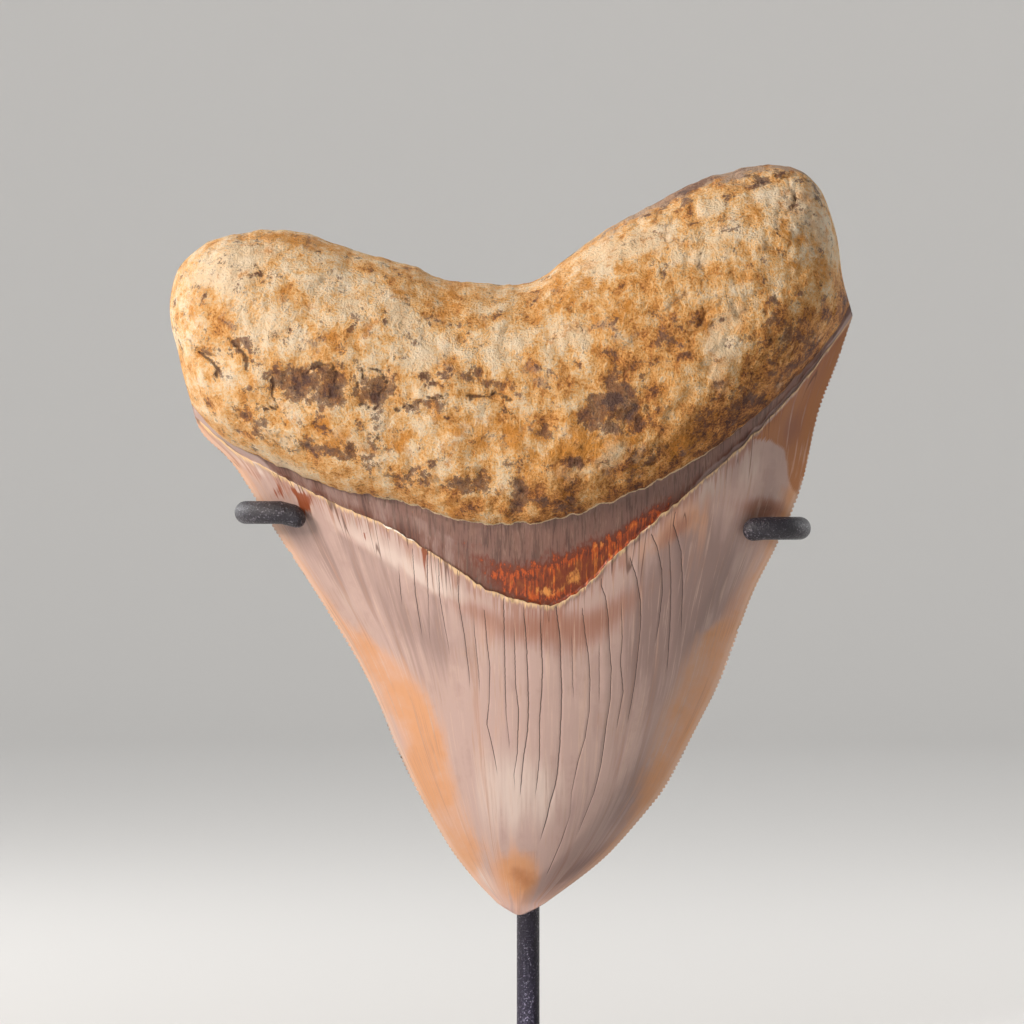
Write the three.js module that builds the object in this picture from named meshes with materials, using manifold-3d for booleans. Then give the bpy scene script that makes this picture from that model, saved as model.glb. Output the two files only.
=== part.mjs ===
// A megalodon tooth held point down on a coated steel display stand.
// Millimetres, +Z up, the shelf at z = 0. The tooth's tongue side, with the swollen root, faces -Y.
// The origin is the centre of the stand's underside.
import * as THREE from "three";
import { mergeVertices } from "three/addons/utils/BufferGeometryUtils.js";
import Module from "manifold-3d";

const wasm = await Module();
wasm.setup();

// Driving dimensions of the stand
const ROD_RADIUS = 2.4;
const ROD_SIDES = 16;
const ARM_STEPS = 40;
const PLATE_WIDTH = 110;
const PLATE_DEPTH = 80;
const PLATE_THICKNESS = 8;
const PLATE_CORNER = 7;
const PLATE_BEVEL = 1;
const PAD_THICKNESS = 1.5;
const PAD_INSET = 2;
const GAP = 0.3;
const POST_Y = 13;
const POST_TOP = 139;
const POST_HOLE_RADIUS = ROD_RADIUS + GAP;

// Where each arm leaves the post, where its hook turns round the tooth's edge, and where its end rests
const LEG_SPREAD = 15.1;
const LEFT_ARM = { side: -1, height: 134.5, reach: 59.1, tip: 46.4, droop: 0.7 };
const RIGHT_ARM = { side: 1, height: 131.2, reach: 56.8, tip: 44.7, droop: 0.2 };

// How the tooth hangs on the stand: its tip's height, its lean towards -Y, and the bow of its edges
const TIP_HEIGHT = 50;
const LEAN = THREE.MathUtils.degToRad(2.6);
const EDGE_Y_AT_TIP = 9.3;
const BOW = 1.2;
const TOOTH_HEIGHT = 157.2;

// Depths of the tooth, from the plane of its cutting edges
const CROWN_FRONT = 15;
const CROWN_BACK = 5;
const BLADE_WIDTH = 10;
const BLADE_THINNING = 0.5;
const SWELL_HEIGHT = 80;
const BORDER_RISE = 1.5;

// The root's swelling: its full depth, the shares of its height that its lower lip and its rounded top
// take up, how square its ends are, and how much it thins towards them
const ROOT_FRONT = { depth: 24, lip: 0.38, shoulder: 0.4, squareness: 5, thinning: 0.12 };
const ROOT_BACK = { depth: 7.5, lip: 0.3, shoulder: 0.5, squareness: 6, thinning: 0 };

// How round the sections are, as powers: the crown's swelling, its lens, the root's lip and the root's top
const SWELL_POWERS = [1.9, 0.85];
const LENS_POWERS = [2, 0.9];
const LIP_POWERS = [2.4, 0.7];
const TOP_POWERS = [2.3, 0.5];

// How finely the tooth is meshed
const COLUMNS = 34;
const CROWN_ROWS = 16;
const BAND_ROWS = 2;
const ROOT_ROWS = 14;
const EDGE_CROWDING = 0.75;

// The tooth's outline and borders, as x from the post's axis and z above the tip
const TIP_ARC = [[-6.5, 2.5], [-4.2, 1.0], [-2.0, 0], [0.6, 0.8], [3.6, 2.5]];
const LEFT_EDGE = [
  [-6.5, 2.5], [-11.3, 7.6], [-16.8, 15.1], [-22.5, 25.2], [-27.3, 35.3], [-31.5, 45.4], [-36.5, 55.4],
  [-42.8, 65.5], [-49.4, 75.6], [-54.8, 84.2], [-58.8, 90.7], [-62.6, 95.8], [-67.8, 100.8], [-69.7, 104.6],
];
const RIGHT_EDGE = [
  [3.6, 2.5], [10.5, 7.6], [16.4, 12.6], [21.0, 17.6], [25.2, 22.7], [28.8, 27.7], [34.2, 37.8], [39.3, 47.9],
  [43.1, 58.0], [47.0, 68.0], [51.9, 78.1], [57.1, 90.7], [60.5, 105.8], [64.3, 115.9], [67.8, 125.6],
];
const ENAMEL_BORDER = [
  [-69.7, 104.6], [-62.0, 97.9], [-55.2, 94.1], [-47.7, 90.1], [-37.4, 85.1], [-29.8, 82.0], [-22.3, 77.5],
  [-16.0, 73.6], [-9.9, 69.3], [-4.8, 67.2], [1.3, 65.6], [5.9, 65.6], [11.4, 68.9], [18.7, 76.2],
  [28.8, 84.9], [36.1, 91.1], [45.2, 99.1], [56.7, 111.1], [67.8, 125.6],
];
const ROOT_BORDER = [
  [-70.4, 107.1], [-65.9, 101.9], [-61.7, 98.7], [-56.9, 96.4], [-46.0, 91.8], [-38.2, 89.0], [-24.8, 86.4],
  [-15.8, 83.3], [-6.1, 82.2], [4.4, 82.8], [16.8, 86.7], [29.4, 92.4], [40.5, 99.3], [52.1, 109.0],
  [63.0, 120.8], [67.2, 128.0],
];
const BACK_BORDER = [
  [-70.4, 107.1], [-50, 101.6], [-25, 98.6], [0, 99.2], [25, 104.5], [50, 115.5], [67.2, 128.0],
];
const ROOT_LEFT = [
  [-70.4, 107.1], [-72.2, 113.4], [-73.3, 118.4], [-74.6, 123.5], [-74.8, 129.4], [-72.7, 136.1],
  [-67.0, 141.1],
];
const ROOT_RIGHT = [
  [67.2, 128.0], [65.7, 133.6], [64.7, 141.1], [63.4, 146.2], [61.5, 151.2], [59.6, 153.7],
];
const ROOT_TOP = [
  [-67.0, 141.1], [-61.5, 142.6], [-54.6, 143.5], [-47.9, 143.2], [-41.4, 141.1], [-34.2, 138.6],
  [-24.4, 136.1], [-18.9, 133.6], [-12.2, 132.6], [0.4, 132.6], [9.2, 138.6], [16.4, 143.6],
  [25.6, 148.7], [35.3, 153.7],
  [44.3, 156.2], [50.4, 157.2], [56.3, 156.2], [59.6, 153.7],
];

const coated = { color: 0x26262a, roughness: 0.55, metalness: 0.1 };
const materials = {
  tooth: new THREE.MeshStandardMaterial({ color: 0xc79a6b, roughness: 0.6, metalness: 0 }),
  rod: new THREE.MeshStandardMaterial(coated),
  plate: new THREE.MeshStandardMaterial(coated),
  rubber: new THREE.MeshStandardMaterial({ color: 0x17171a, roughness: 0.9, metalness: 0 }),
};

// A smooth curve through points, read by the share of its length
function curveThrough(points) {
  const spline = new THREE.SplineCurve(points.map(([x, z]) => new THREE.Vector2(x, z)));
  return (share) => spline.getPointAt(THREE.MathUtils.clamp(share, 0, 1));
}

// A four-sided patch of the xz plane between a bottom, a top, a left and a right curve
function patchBetween(bottom, top, left, right) {
  return (u, v) => {
    const point = new THREE.Vector2();
    point.addScaledVector(bottom(u), 1 - v).addScaledVector(top(u), v);
    point.addScaledVector(left(v), 1 - u).addScaledVector(right(v), u);
    point.addScaledVector(bottom(0), -(1 - u) * (1 - v)).addScaledVector(bottom(1), -u * (1 - v));
    point.addScaledVector(top(0), -(1 - u) * v).addScaledVector(top(1), -u * v);
    return point;
  };
}

const straight = (a, b) => curveThrough([a, b]);
const curves = {
  tip: curveThrough(TIP_ARC),
  leftEdge: curveThrough(LEFT_EDGE),
  rightEdge: curveThrough(RIGHT_EDGE),
  enamel: curveThrough(ENAMEL_BORDER),
  root: curveThrough(ROOT_BORDER),
  back: curveThrough(BACK_BORDER),
  rootLeft: curveThrough(ROOT_LEFT),
  rootRight: curveThrough(ROOT_RIGHT),
  top: curveThrough(ROOT_TOP),
  bandLeft: straight(ENAMEL_BORDER[0], ROOT_BORDER[0]),
  bandRight: straight(ENAMEL_BORDER.at(-1), ROOT_BORDER.at(-1)),
};

// The side curves of the back's crown run on past the enamel's border to the root's
function joined(first, second, share) {
  return (v) => (v < share ? first(v / share) : second((v - share) / (1 - share)));
}

const CROWN_SHARE = CROWN_ROWS / (CROWN_ROWS + BAND_ROWS);
const patches = {
  crown: patchBetween(curves.tip, curves.enamel, curves.leftEdge, curves.rightEdge),
  band: patchBetween(curves.enamel, curves.root, curves.bandLeft, curves.bandRight),
  root: patchBetween(curves.root, curves.top, curves.rootLeft, curves.rootRight),
  backCrown: patchBetween(
    curves.tip,
    curves.back,
    joined(curves.leftEdge, curves.bandLeft, CROWN_SHARE),
    joined(curves.rightEdge, curves.bandRight, CROWN_SHARE),
  ),
  backRoot: patchBetween(curves.back, curves.top, curves.rootLeft, curves.rootRight),
};

const eased = (share) => (1 - Math.cos(Math.PI * share)) / 2;
const rounded = (share, [first, second]) => Math.max(0, 1 - share ** first) ** second;
const over = (value, from, to) => THREE.MathUtils.clamp((value - from) / (to - from), 0, 1);

// The outline's x at a height above the tip, read off the edge and the root's end above it
function outlineAt(...parts) {
  const points = parts.flatMap((part) => Array.from({ length: 101 }, (_, i) => part(i / 100)));
  return (z) => {
    const next = Math.max(1, points.findIndex((point) => point.y > z));
    const after = points[next] ?? points.at(-1);
    const before = points[next - 1] ?? points.at(-2);
    return THREE.MathUtils.lerp(before.x, after.x, over(z, before.y, after.y));
  };
}
const leftAt = outlineAt(curves.leftEdge, curves.bandLeft, curves.rootLeft);
const rightAt = outlineAt(curves.rightEdge, curves.bandRight, curves.rootRight);

// The crown swells from the tip up, and each cross-section is a lens with a thinner blade at its edges
function crownDepth(thickness, x, z) {
  const halfWidth = (rightAt(z) - leftAt(z)) / 2;
  const side = Math.min(1, Math.abs(x - (rightAt(z) + leftAt(z)) / 2) / halfWidth);
  const inward = THREE.MathUtils.smoothstep((1 - side) * halfWidth, 0, BLADE_WIDTH);
  const blade = 1 - BLADE_THINNING * (1 - inward);
  const swell = rounded(1 - over(z, 0, SWELL_HEIGHT), SWELL_POWERS);
  return thickness * swell * blade * rounded(side, LENS_POWERS);
}

// The root's lower lip swells out of the crown, and its top rounds over to the outline
function rootDepth(root, foot, side, v) {
  const { depth, lip, shoulder, squareness, thinning } = root;
  const full = depth * (1 - thinning * side ** 2) * Math.sqrt(1 - side ** squareness);
  const rise = rounded(1 - over(v, 0, lip), LIP_POWERS);
  const fall = rounded(over(v, shoulder, 1), TOP_POWERS);
  return (foot + (full - foot) * rise) * fall;
}

function frontDepth(zone, u, v, x, z) {
  const side = Math.abs(2 * u - 1);
  const rise = BORDER_RISE * (1 - side ** 4);
  const crown = crownDepth(CROWN_FRONT, x, z);
  if (zone === "crown") return crown;
  return zone === "band" ? crown + rise * v : rootDepth(ROOT_FRONT, crown + rise, side, v);
}

function backDepth(zone, u, v, x, z) {
  const crown = crownDepth(CROWN_BACK, x, z);
  return zone === "crown" ? crown : rootDepth(ROOT_BACK, crown, Math.abs(2 * u - 1), v);
}

// The y of the cutting edges' plane at a height above the tip
function edgeY(z) {
  const share = z / TOOTH_HEIGHT;
  return EDGE_Y_AT_TIP - Math.tan(LEAN) * z - BOW * 4 * share * (1 - share);
}

// One sheet of the tooth, row by row from the tip to the top: -1 gives the front, 1 the back
function toothSheet(direction) {
  const zones = direction < 0
    ? [["crown", "crown", CROWN_ROWS], ["band", "band", BAND_ROWS], ["root", "root", ROOT_ROWS]]
    : [["crown", "backCrown", CROWN_ROWS + BAND_ROWS], ["root", "backRoot", ROOT_ROWS]];
  const depth = direction < 0 ? frontDepth : backDepth;
  const rows = [];
  for (const [zone, patch, count] of zones) {
    for (let i = rows.length ? 1 : 0; i <= count; i += 1) {
      const v = zone === "root" ? eased(i / count) : i / count;
      const row = [];
      for (let j = 0; j <= COLUMNS; j += 1) {
        const u = THREE.MathUtils.lerp(j / COLUMNS, eased(j / COLUMNS), EDGE_CROWDING);
        const { x, y: z } = patches[patch](u, v);
        const offset = rows.length && j % COLUMNS ? depth(zone, u, v, x, z) : 0;
        row.push(new THREE.Vector3(x, edgeY(z) + direction * offset, TIP_HEIGHT + z));
      }
      rows.push(row);
    }
  }
  return rows;
}

// The front and back sheets share every point of the outline, so the two close into one solid
function toothGeometry() {
  const positions = [];
  const indices = [];
  for (const direction of [-1, 1]) {
    const rows = toothSheet(direction);
    for (let i = 0; i + 1 < rows.length; i += 1) {
      for (let j = 0; j < COLUMNS; j += 1) {
        const corners = [rows[i][j], rows[i][j + 1], rows[i + 1][j + 1], rows[i + 1][j]];
        const start = positions.length / 3;
        corners.forEach((corner) => positions.push(corner.x, corner.y, corner.z));
        const order = direction < 0 ? [0, 1, 2, 0, 2, 3] : [0, 2, 1, 0, 3, 2];
        indices.push(...order.map((corner) => start + corner));
      }
    }
  }
  const geometry = new THREE.BufferGeometry();
  geometry.setAttribute("position", new THREE.BufferAttribute(new Float32Array(positions), 3));
  geometry.setIndex(indices);
  return geometry;
}

// A closed mesh as a manifold-3d solid, and back
function solidOf(geometry) {
  const bare = new THREE.BufferGeometry();
  bare.setAttribute("position", geometry.getAttribute("position"));
  bare.setIndex(geometry.getIndex());
  const merged = mergeVertices(bare, 1e-3);
  const mesh = new wasm.Mesh({
    numProp: 3,
    vertProperties: merged.getAttribute("position").array,
    triVerts: new Uint32Array(merged.getIndex().array),
  });
  return new wasm.Manifold(mesh);
}

function geometryOf(solid) {
  const mesh = solid.getMesh();
  const geometry = new THREE.BufferGeometry();
  geometry.setAttribute("position", new THREE.BufferAttribute(mesh.vertProperties, 3));
  geometry.setIndex(new THREE.BufferAttribute(mesh.triVerts, 1));
  return geometry;
}

// An arm's middle line: a straight leg behind the tooth, half a turn round its edge, and a short leg in front
class HookCurve extends THREE.Curve {
  constructor({ side, height, reach, tip, droop }) {
    super();
    this.side = side;
    this.height = height;
    this.droop = droop;
    this.start = ROD_RADIUS + GAP;
    this.bendX = reach - LEG_SPREAD / 2;
    this.tip = tip + ROD_RADIUS;
    this.lengths = [this.bendX - this.start, (Math.PI * LEG_SPREAD) / 2, this.bendX - this.tip];
  }

  getPoint(share, target = new THREE.Vector3()) {
    const [back, bend, front] = this.lengths;
    const along = share * (back + bend + front);
    const radius = LEG_SPREAD / 2;
    if (along < back) return target.set(this.side * (this.start + along), POST_Y, this.height);
    if (along < back + bend) {
      const angle = (along - back) / radius;
      const x = this.bendX + radius * Math.sin(angle);
      return target.set(this.side * x, POST_Y - radius * (1 - Math.cos(angle)), this.height);
    }
    const past = along - back - bend;
    const drop = (this.droop * past) / front;
    return target.set(this.side * (this.bendX - past), POST_Y - LEG_SPREAD, this.height - drop);
  }
}

// An arm is a bent rod with a rounded front end
function armGeometry(arm) {
  const path = new HookCurve(arm);
  const section = new THREE.Shape();
  section.absarc(0, 0, ROD_RADIUS, 0, 2 * Math.PI);
  const rod = new THREE.ExtrudeGeometry(section, {
    extrudePath: path,
    steps: ARM_STEPS,
    curveSegments: ROD_SIDES / 2,
  });
  const end = new THREE.SphereGeometry(ROD_RADIUS, ROD_SIDES, ROD_SIDES / 2);
  end.rotateZ(Math.PI / 2);
  end.translate(...path.getPoint(1).toArray());
  return geometryOf(solidOf(rod).add(solidOf(end)));
}

// The post stands in the plate's hole and ends in a low dome behind the tooth
function postGeometry() {
  const bottom = PAD_THICKNESS + GAP;
  const profile = [
    [0, bottom],
    [ROD_RADIUS, bottom],
    [ROD_RADIUS, POST_TOP - 0.8 * ROD_RADIUS],
    [0.8 * ROD_RADIUS, POST_TOP - 0.3 * ROD_RADIUS],
    [0.4 * ROD_RADIUS, POST_TOP],
    [0, POST_TOP],
  ];
  const post = new THREE.LatheGeometry(profile.map(([r, z]) => new THREE.Vector2(r, z)), ROD_SIDES);
  post.rotateX(Math.PI / 2);
  post.translate(0, POST_Y, 0);
  return post;
}

function roundedRectangle(width, depth, corner) {
  const shape = new THREE.Shape();
  const x = width / 2 - corner;
  const y = depth / 2 - corner;
  shape.absarc(x, y, corner, 0, Math.PI / 2);
  shape.absarc(-x, y, corner, Math.PI / 2, Math.PI);
  shape.absarc(-x, -y, corner, Math.PI, 1.5 * Math.PI);
  shape.absarc(x, -y, corner, 1.5 * Math.PI, 2 * Math.PI);
  shape.closePath();
  return shape;
}

function plateGeometry() {
  const outline = roundedRectangle(PLATE_WIDTH, PLATE_DEPTH, PLATE_CORNER);
  const hole = new THREE.Path();
  hole.absarc(0, POST_Y, POST_HOLE_RADIUS, 0, 2 * Math.PI, true);
  outline.holes.push(hole);
  const plate = new THREE.ExtrudeGeometry(outline, {
    depth: PLATE_THICKNESS - 2 * PLATE_BEVEL,
    bevelThickness: PLATE_BEVEL,
    bevelSize: PLATE_BEVEL,
    bevelOffset: -PLATE_BEVEL,
    bevelSegments: 1,
    curveSegments: ROD_SIDES / 2,
  });
  return plate;
}

function padGeometry() {
  const outline = roundedRectangle(
    PLATE_WIDTH - 2 * PAD_INSET,
    PLATE_DEPTH - 2 * PAD_INSET,
    PLATE_CORNER - PAD_INSET,
  );
  return new THREE.ExtrudeGeometry(outline, { depth: PAD_THICKNESS, bevelEnabled: false, curveSegments: 4 });
}

function piece(name, geometry, material, z = 0) {
  const mesh = new THREE.Mesh(geometry, material);
  mesh.name = name;
  mesh.position.z = z;
  return mesh;
}

const display = new THREE.Group();
display.add(
  piece("tooth", toothGeometry(), materials.tooth),
  piece("post", postGeometry(), materials.rod),
  piece("left_arm", armGeometry(LEFT_ARM), materials.rod),
  piece("right_arm", armGeometry(RIGHT_ARM), materials.rod),
  piece("base_plate", plateGeometry(), materials.plate, PAD_THICKNESS + PLATE_BEVEL),
  piece("rubber_pad", padGeometry(), materials.rubber),
);

export default display;
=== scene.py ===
# %% [markdown]
# # A fossil tooth held by a wire stand
#
# The object is a megalodon tooth, root up and point down, in the two hooks of a small steel stand. The
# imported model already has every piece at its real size. This lesson keeps those places and makes the
# surfaces: a crumbly, iron-stained root, a dark band of thin enamel under it, a polished crown with
# drying cracks and saw-toothed edges, and a textured black coat on the stand.

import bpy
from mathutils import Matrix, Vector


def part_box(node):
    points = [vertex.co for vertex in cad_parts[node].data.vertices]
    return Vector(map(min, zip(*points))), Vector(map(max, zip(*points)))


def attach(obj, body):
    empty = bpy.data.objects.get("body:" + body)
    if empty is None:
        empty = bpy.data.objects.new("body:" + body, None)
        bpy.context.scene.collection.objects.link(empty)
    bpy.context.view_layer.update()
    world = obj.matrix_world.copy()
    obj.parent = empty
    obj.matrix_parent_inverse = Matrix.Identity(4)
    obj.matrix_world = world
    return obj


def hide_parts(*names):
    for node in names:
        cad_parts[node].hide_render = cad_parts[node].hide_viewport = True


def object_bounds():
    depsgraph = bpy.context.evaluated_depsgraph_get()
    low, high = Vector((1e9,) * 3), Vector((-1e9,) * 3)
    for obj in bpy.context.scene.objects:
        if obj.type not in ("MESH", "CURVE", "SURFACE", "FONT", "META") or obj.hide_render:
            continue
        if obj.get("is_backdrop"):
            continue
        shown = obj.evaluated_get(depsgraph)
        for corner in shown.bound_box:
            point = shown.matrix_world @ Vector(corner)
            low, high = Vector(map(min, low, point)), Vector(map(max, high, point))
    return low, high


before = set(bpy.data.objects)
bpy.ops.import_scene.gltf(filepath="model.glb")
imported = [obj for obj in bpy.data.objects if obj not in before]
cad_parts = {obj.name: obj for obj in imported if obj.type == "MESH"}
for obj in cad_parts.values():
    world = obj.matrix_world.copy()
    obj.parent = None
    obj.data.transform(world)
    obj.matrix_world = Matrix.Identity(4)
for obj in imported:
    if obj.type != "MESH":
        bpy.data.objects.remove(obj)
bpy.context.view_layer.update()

# %% Libraries and units
import math

import bmesh
import bpy
import numpy as np
from mathutils import Matrix, Vector, noise

MM = 0.001

# %% [markdown]
# ## The tooth's outline
#
# A tooth has no straight line anywhere, so its form starts from a few smooth curves in the plane of its
# cutting edges: the two edges, the root's ends and top, and the borders between root, band and crown.
# Sculpting would be another way in, but a script can't sculpt by hand. Curves through a few measured
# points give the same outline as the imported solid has. All of them are in millimetres: x from the stand's
# post, and z from the tooth's tip.

# %% The outline's points
TIP_ARC = [(-6.5, 2.5), (-4.2, 1.0), (-2.0, 0), (0.6, 0.8), (3.6, 2.5)]
LEFT_EDGE = [
    (-6.5, 2.5), (-11.3, 7.6), (-16.8, 15.1), (-22.5, 25.2), (-27.3, 35.3), (-31.5, 45.4), (-36.5, 55.4),
    (-42.8, 65.5), (-49.4, 75.6), (-54.8, 84.2), (-58.8, 90.7), (-62.6, 95.8), (-67.8, 100.8),
    (-69.7, 104.6),
]
RIGHT_EDGE = [
    (3.6, 2.5), (10.5, 7.6), (16.4, 12.6), (21.0, 17.6), (25.2, 22.7), (28.8, 27.7), (34.2, 37.8),
    (39.3, 47.9), (43.1, 58.0), (47.0, 68.0), (51.9, 78.1), (57.1, 90.7), (60.5, 105.8), (64.3, 115.9),
    (67.8, 125.6),
]
ENAMEL_BORDER = [
    (-69.7, 104.6), (-62.0, 97.9), (-55.2, 94.1), (-47.7, 90.1), (-37.4, 85.1), (-29.8, 82.0),
    (-22.3, 77.5), (-16.0, 73.6), (-9.9, 69.3), (-4.8, 67.2), (1.3, 65.6), (5.9, 65.6), (11.4, 68.9),
    (18.7, 76.2), (28.8, 84.9), (36.1, 91.1), (45.2, 99.1), (56.7, 111.1), (67.8, 125.6),
]
ROOT_BORDER = [
    (-70.4, 107.1), (-65.9, 101.9), (-61.7, 98.7), (-56.9, 96.4), (-46.0, 91.8), (-38.2, 89.0),
    (-24.8, 86.4), (-15.8, 83.3), (-6.1, 82.2), (4.4, 82.8), (16.8, 86.7), (29.4, 92.4), (40.5, 99.3),
    (52.1, 109.0), (63.0, 120.8), (67.2, 128.0),
]
BACK_BORDER = [
    (-70.4, 107.1), (-50, 101.6), (-25, 98.6), (0, 99.2), (25, 104.5), (50, 115.5), (67.2, 128.0),
]
ROOT_LEFT = [
    (-70.4, 107.1), (-72.2, 113.4), (-73.3, 118.4), (-74.6, 123.5), (-74.8, 129.4), (-72.7, 136.1),
    (-67.0, 141.1),
]
ROOT_RIGHT = [(67.2, 128.0), (65.7, 133.6), (64.7, 141.1), (63.4, 146.2), (61.5, 151.2), (59.6, 153.7)]
ROOT_TOP = [
    (-67.0, 141.1), (-61.5, 142.6), (-54.6, 143.5), (-47.9, 143.2), (-41.4, 141.1), (-34.2, 138.6),
    (-24.4, 136.1), (-18.9, 133.6), (-12.2, 132.6), (0.4, 132.6), (9.2, 138.6), (16.4, 143.6),
    (25.6, 148.7), (35.3, 153.7), (44.3, 156.2), (50.4, 157.2), (56.3, 156.2), (59.6, 153.7),
]

# %% Smooth curves and the patches between them
def curve_through(points, steps=60):
    """Gives a function that reads a smooth curve through the points by the share of its length."""
    given = np.array(points, dtype=float)
    ends = np.vstack([given[:1], given, given[-1:]])
    t = np.linspace(0, 1, steps, endpoint=False)[:, None]
    runs = []
    for a, b, c, d in zip(ends, ends[1:], ends[2:], ends[3:]):
        bend = (2 * a - 5 * b + 4 * c - d) * t**2 + (3 * b - a - 3 * c + d) * t**3
        runs.append(0.5 * (2 * b + (c - a) * t + bend))
    line = np.vstack([*runs, given[-1:]])
    length = np.concatenate([[0], np.cumsum(np.hypot(*np.diff(line, axis=0).T))])

    def at(share):
        along = np.clip(share, 0, 1) * length[-1]
        return np.stack([np.interp(along, length, line[:, k]) for k in (0, 1)], axis=-1)

    return at


def patch_between(bottom, top, left, right):
    """Gives a function from shares across and up to a point of the area that four curves enclose."""

    def at(across, up):
        u, v = across[..., None], up[..., None]
        sides = left(up) * (1 - u) + right(up) * u
        ends = bottom(across) * (1 - v) + top(across) * v
        low = bottom(0.0) * (1 - u) + bottom(1.0) * u
        high = top(0.0) * (1 - u) + top(1.0) * u
        return sides + ends - low * (1 - v) - high * v

    return at


edge = {
    "tip": curve_through(TIP_ARC),
    "left": curve_through(LEFT_EDGE),
    "right": curve_through(RIGHT_EDGE),
    "enamel": curve_through(ENAMEL_BORDER),
    "root": curve_through(ROOT_BORDER),
    "back": curve_through(BACK_BORDER),
    "root_left": curve_through(ROOT_LEFT),
    "root_right": curve_through(ROOT_RIGHT),
    "top": curve_through(ROOT_TOP),
    "band_left": curve_through([ENAMEL_BORDER[0], ROOT_BORDER[0]]),
    "band_right": curve_through([ENAMEL_BORDER[-1], ROOT_BORDER[-1]]),
}
crown_patch = patch_between(edge["tip"], edge["enamel"], edge["left"], edge["right"])
band_patch = patch_between(edge["enamel"], edge["root"], edge["band_left"], edge["band_right"])
root_patch = patch_between(edge["root"], edge["top"], edge["root_left"], edge["root_right"])
print("The enamel's border dips to", edge["enamel"](np.linspace(0, 1, 99))[:, 1].min(), "mm above the tip")

# %% [markdown]
# ## The tooth's thickness
#
# Seen from the side the tooth is a wedge with a swollen root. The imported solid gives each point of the
# outline's plane a depth to the front and to the back, and this lesson uses the same rule, so the fine
# surface lies on the solid. The crown is a lens that thins to a blade at its edges. The root swells out of
# it with a steep lower lip and rounds over at the top.

# %% Depths to the front and back
TIP_HEIGHT = 50
TOOTH_HEIGHT = 157.2
LEAN = math.radians(2.6)
EDGE_Y_AT_TIP = 9.3
BOW = 1.2
CROWN_FRONT, CROWN_BACK = 15, 5
BLADE_WIDTH, BLADE_THINNING = 10, 0.5
SWELL_HEIGHT = 80
BORDER_RISE = 1.5
ROOT_FRONT = {"depth": 24, "lip": 0.38, "shoulder": 0.4, "squareness": 5, "thinning": 0.12}
ROOT_BACK = {"depth": 7.5, "lip": 0.3, "shoulder": 0.5, "squareness": 6, "thinning": 0}
SWELL_POWERS, LENS_POWERS = (1.9, 0.85), (2, 0.9)
LIP_POWERS, TOP_POWERS = (2.4, 0.7), (2.3, 0.5)


def smooth_step(value, low, high):
    """Rises smoothly from 0 at low to 1 at high."""
    share = np.clip((value - low) / (high - low), 0, 1)
    return share * share * (3 - 2 * share)


def rounded(share, powers):
    """Falls from 1 to 0 in a rounded curve as the share goes from 0 to 1."""
    return np.maximum(0, 1 - share ** powers[0]) ** powers[1]


def near(distance, reach):
    """Is 1 where the distance is nothing and fades to 0 in a soft bell beyond its reach."""
    return np.exp(-((distance / reach) ** 2))


def outline_x(*names):
    """Gives a function from height to the outline's x, along the named curves."""
    line = np.vstack([edge[name](np.linspace(0, 1, 400)) for name in names])
    return lambda z: np.interp(z, line[:, 1], line[:, 0])


left_x = outline_x("left", "band_left", "root_left")
right_x = outline_x("right", "band_right", "root_right")


def across_tooth(x, z):
    """Half the tooth's width at a height, and how far x lies to the right of its middle as a share of it."""
    middle, half_width = (right_x(z) + left_x(z)) / 2, (right_x(z) - left_x(z)) / 2
    return half_width, (x - middle) / half_width


def crown_depth(thickness, x, z):
    """The lens of the crown, thin near the cutting edges and thick in the middle."""
    half_width, aside = across_tooth(x, z)
    side = np.minimum(1, np.abs(aside))
    blade = 1 - BLADE_THINNING * (1 - smooth_step((1 - side) * half_width, 0, BLADE_WIDTH))
    swell = rounded(1 - np.clip(z / SWELL_HEIGHT, 0, 1), SWELL_POWERS)
    return thickness * swell * blade * rounded(side, LENS_POWERS)


def root_depth(root, foot, side, up):
    """The root's bulge above its foot, with the steep lip below and the rounded top."""
    full = root["depth"] * (1 - root["thinning"] * side**2) * np.sqrt(1 - side ** root["squareness"])
    rise = rounded(1 - np.clip(up / root["lip"], 0, 1), LIP_POWERS)
    fall = rounded(np.clip((up - root["shoulder"]) / (1 - root["shoulder"]), 0, 1), TOP_POWERS)
    return (foot + (full - foot) * rise) * fall


def edge_y(z):
    """Where the plane of the cutting edges lies, front to back, at a height above the tip."""
    share = z / TOOTH_HEIGHT
    return EDGE_Y_AT_TIP - math.tan(LEAN) * z - BOW * 4 * share * (1 - share)

# %% [markdown]
# ## Cracks that the mesh follows
#
# The crown dried and split along its grain, in hairlines that fan out from the point. A crack could be
# painted, but a real one is a narrow groove that catches the light. A plain grid would draw it as a row of
# steps. So the grid's columns are bent to run along each crack: one column in the crack and one on each
# side of it. Each crack is a list of places with its half width there.

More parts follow.
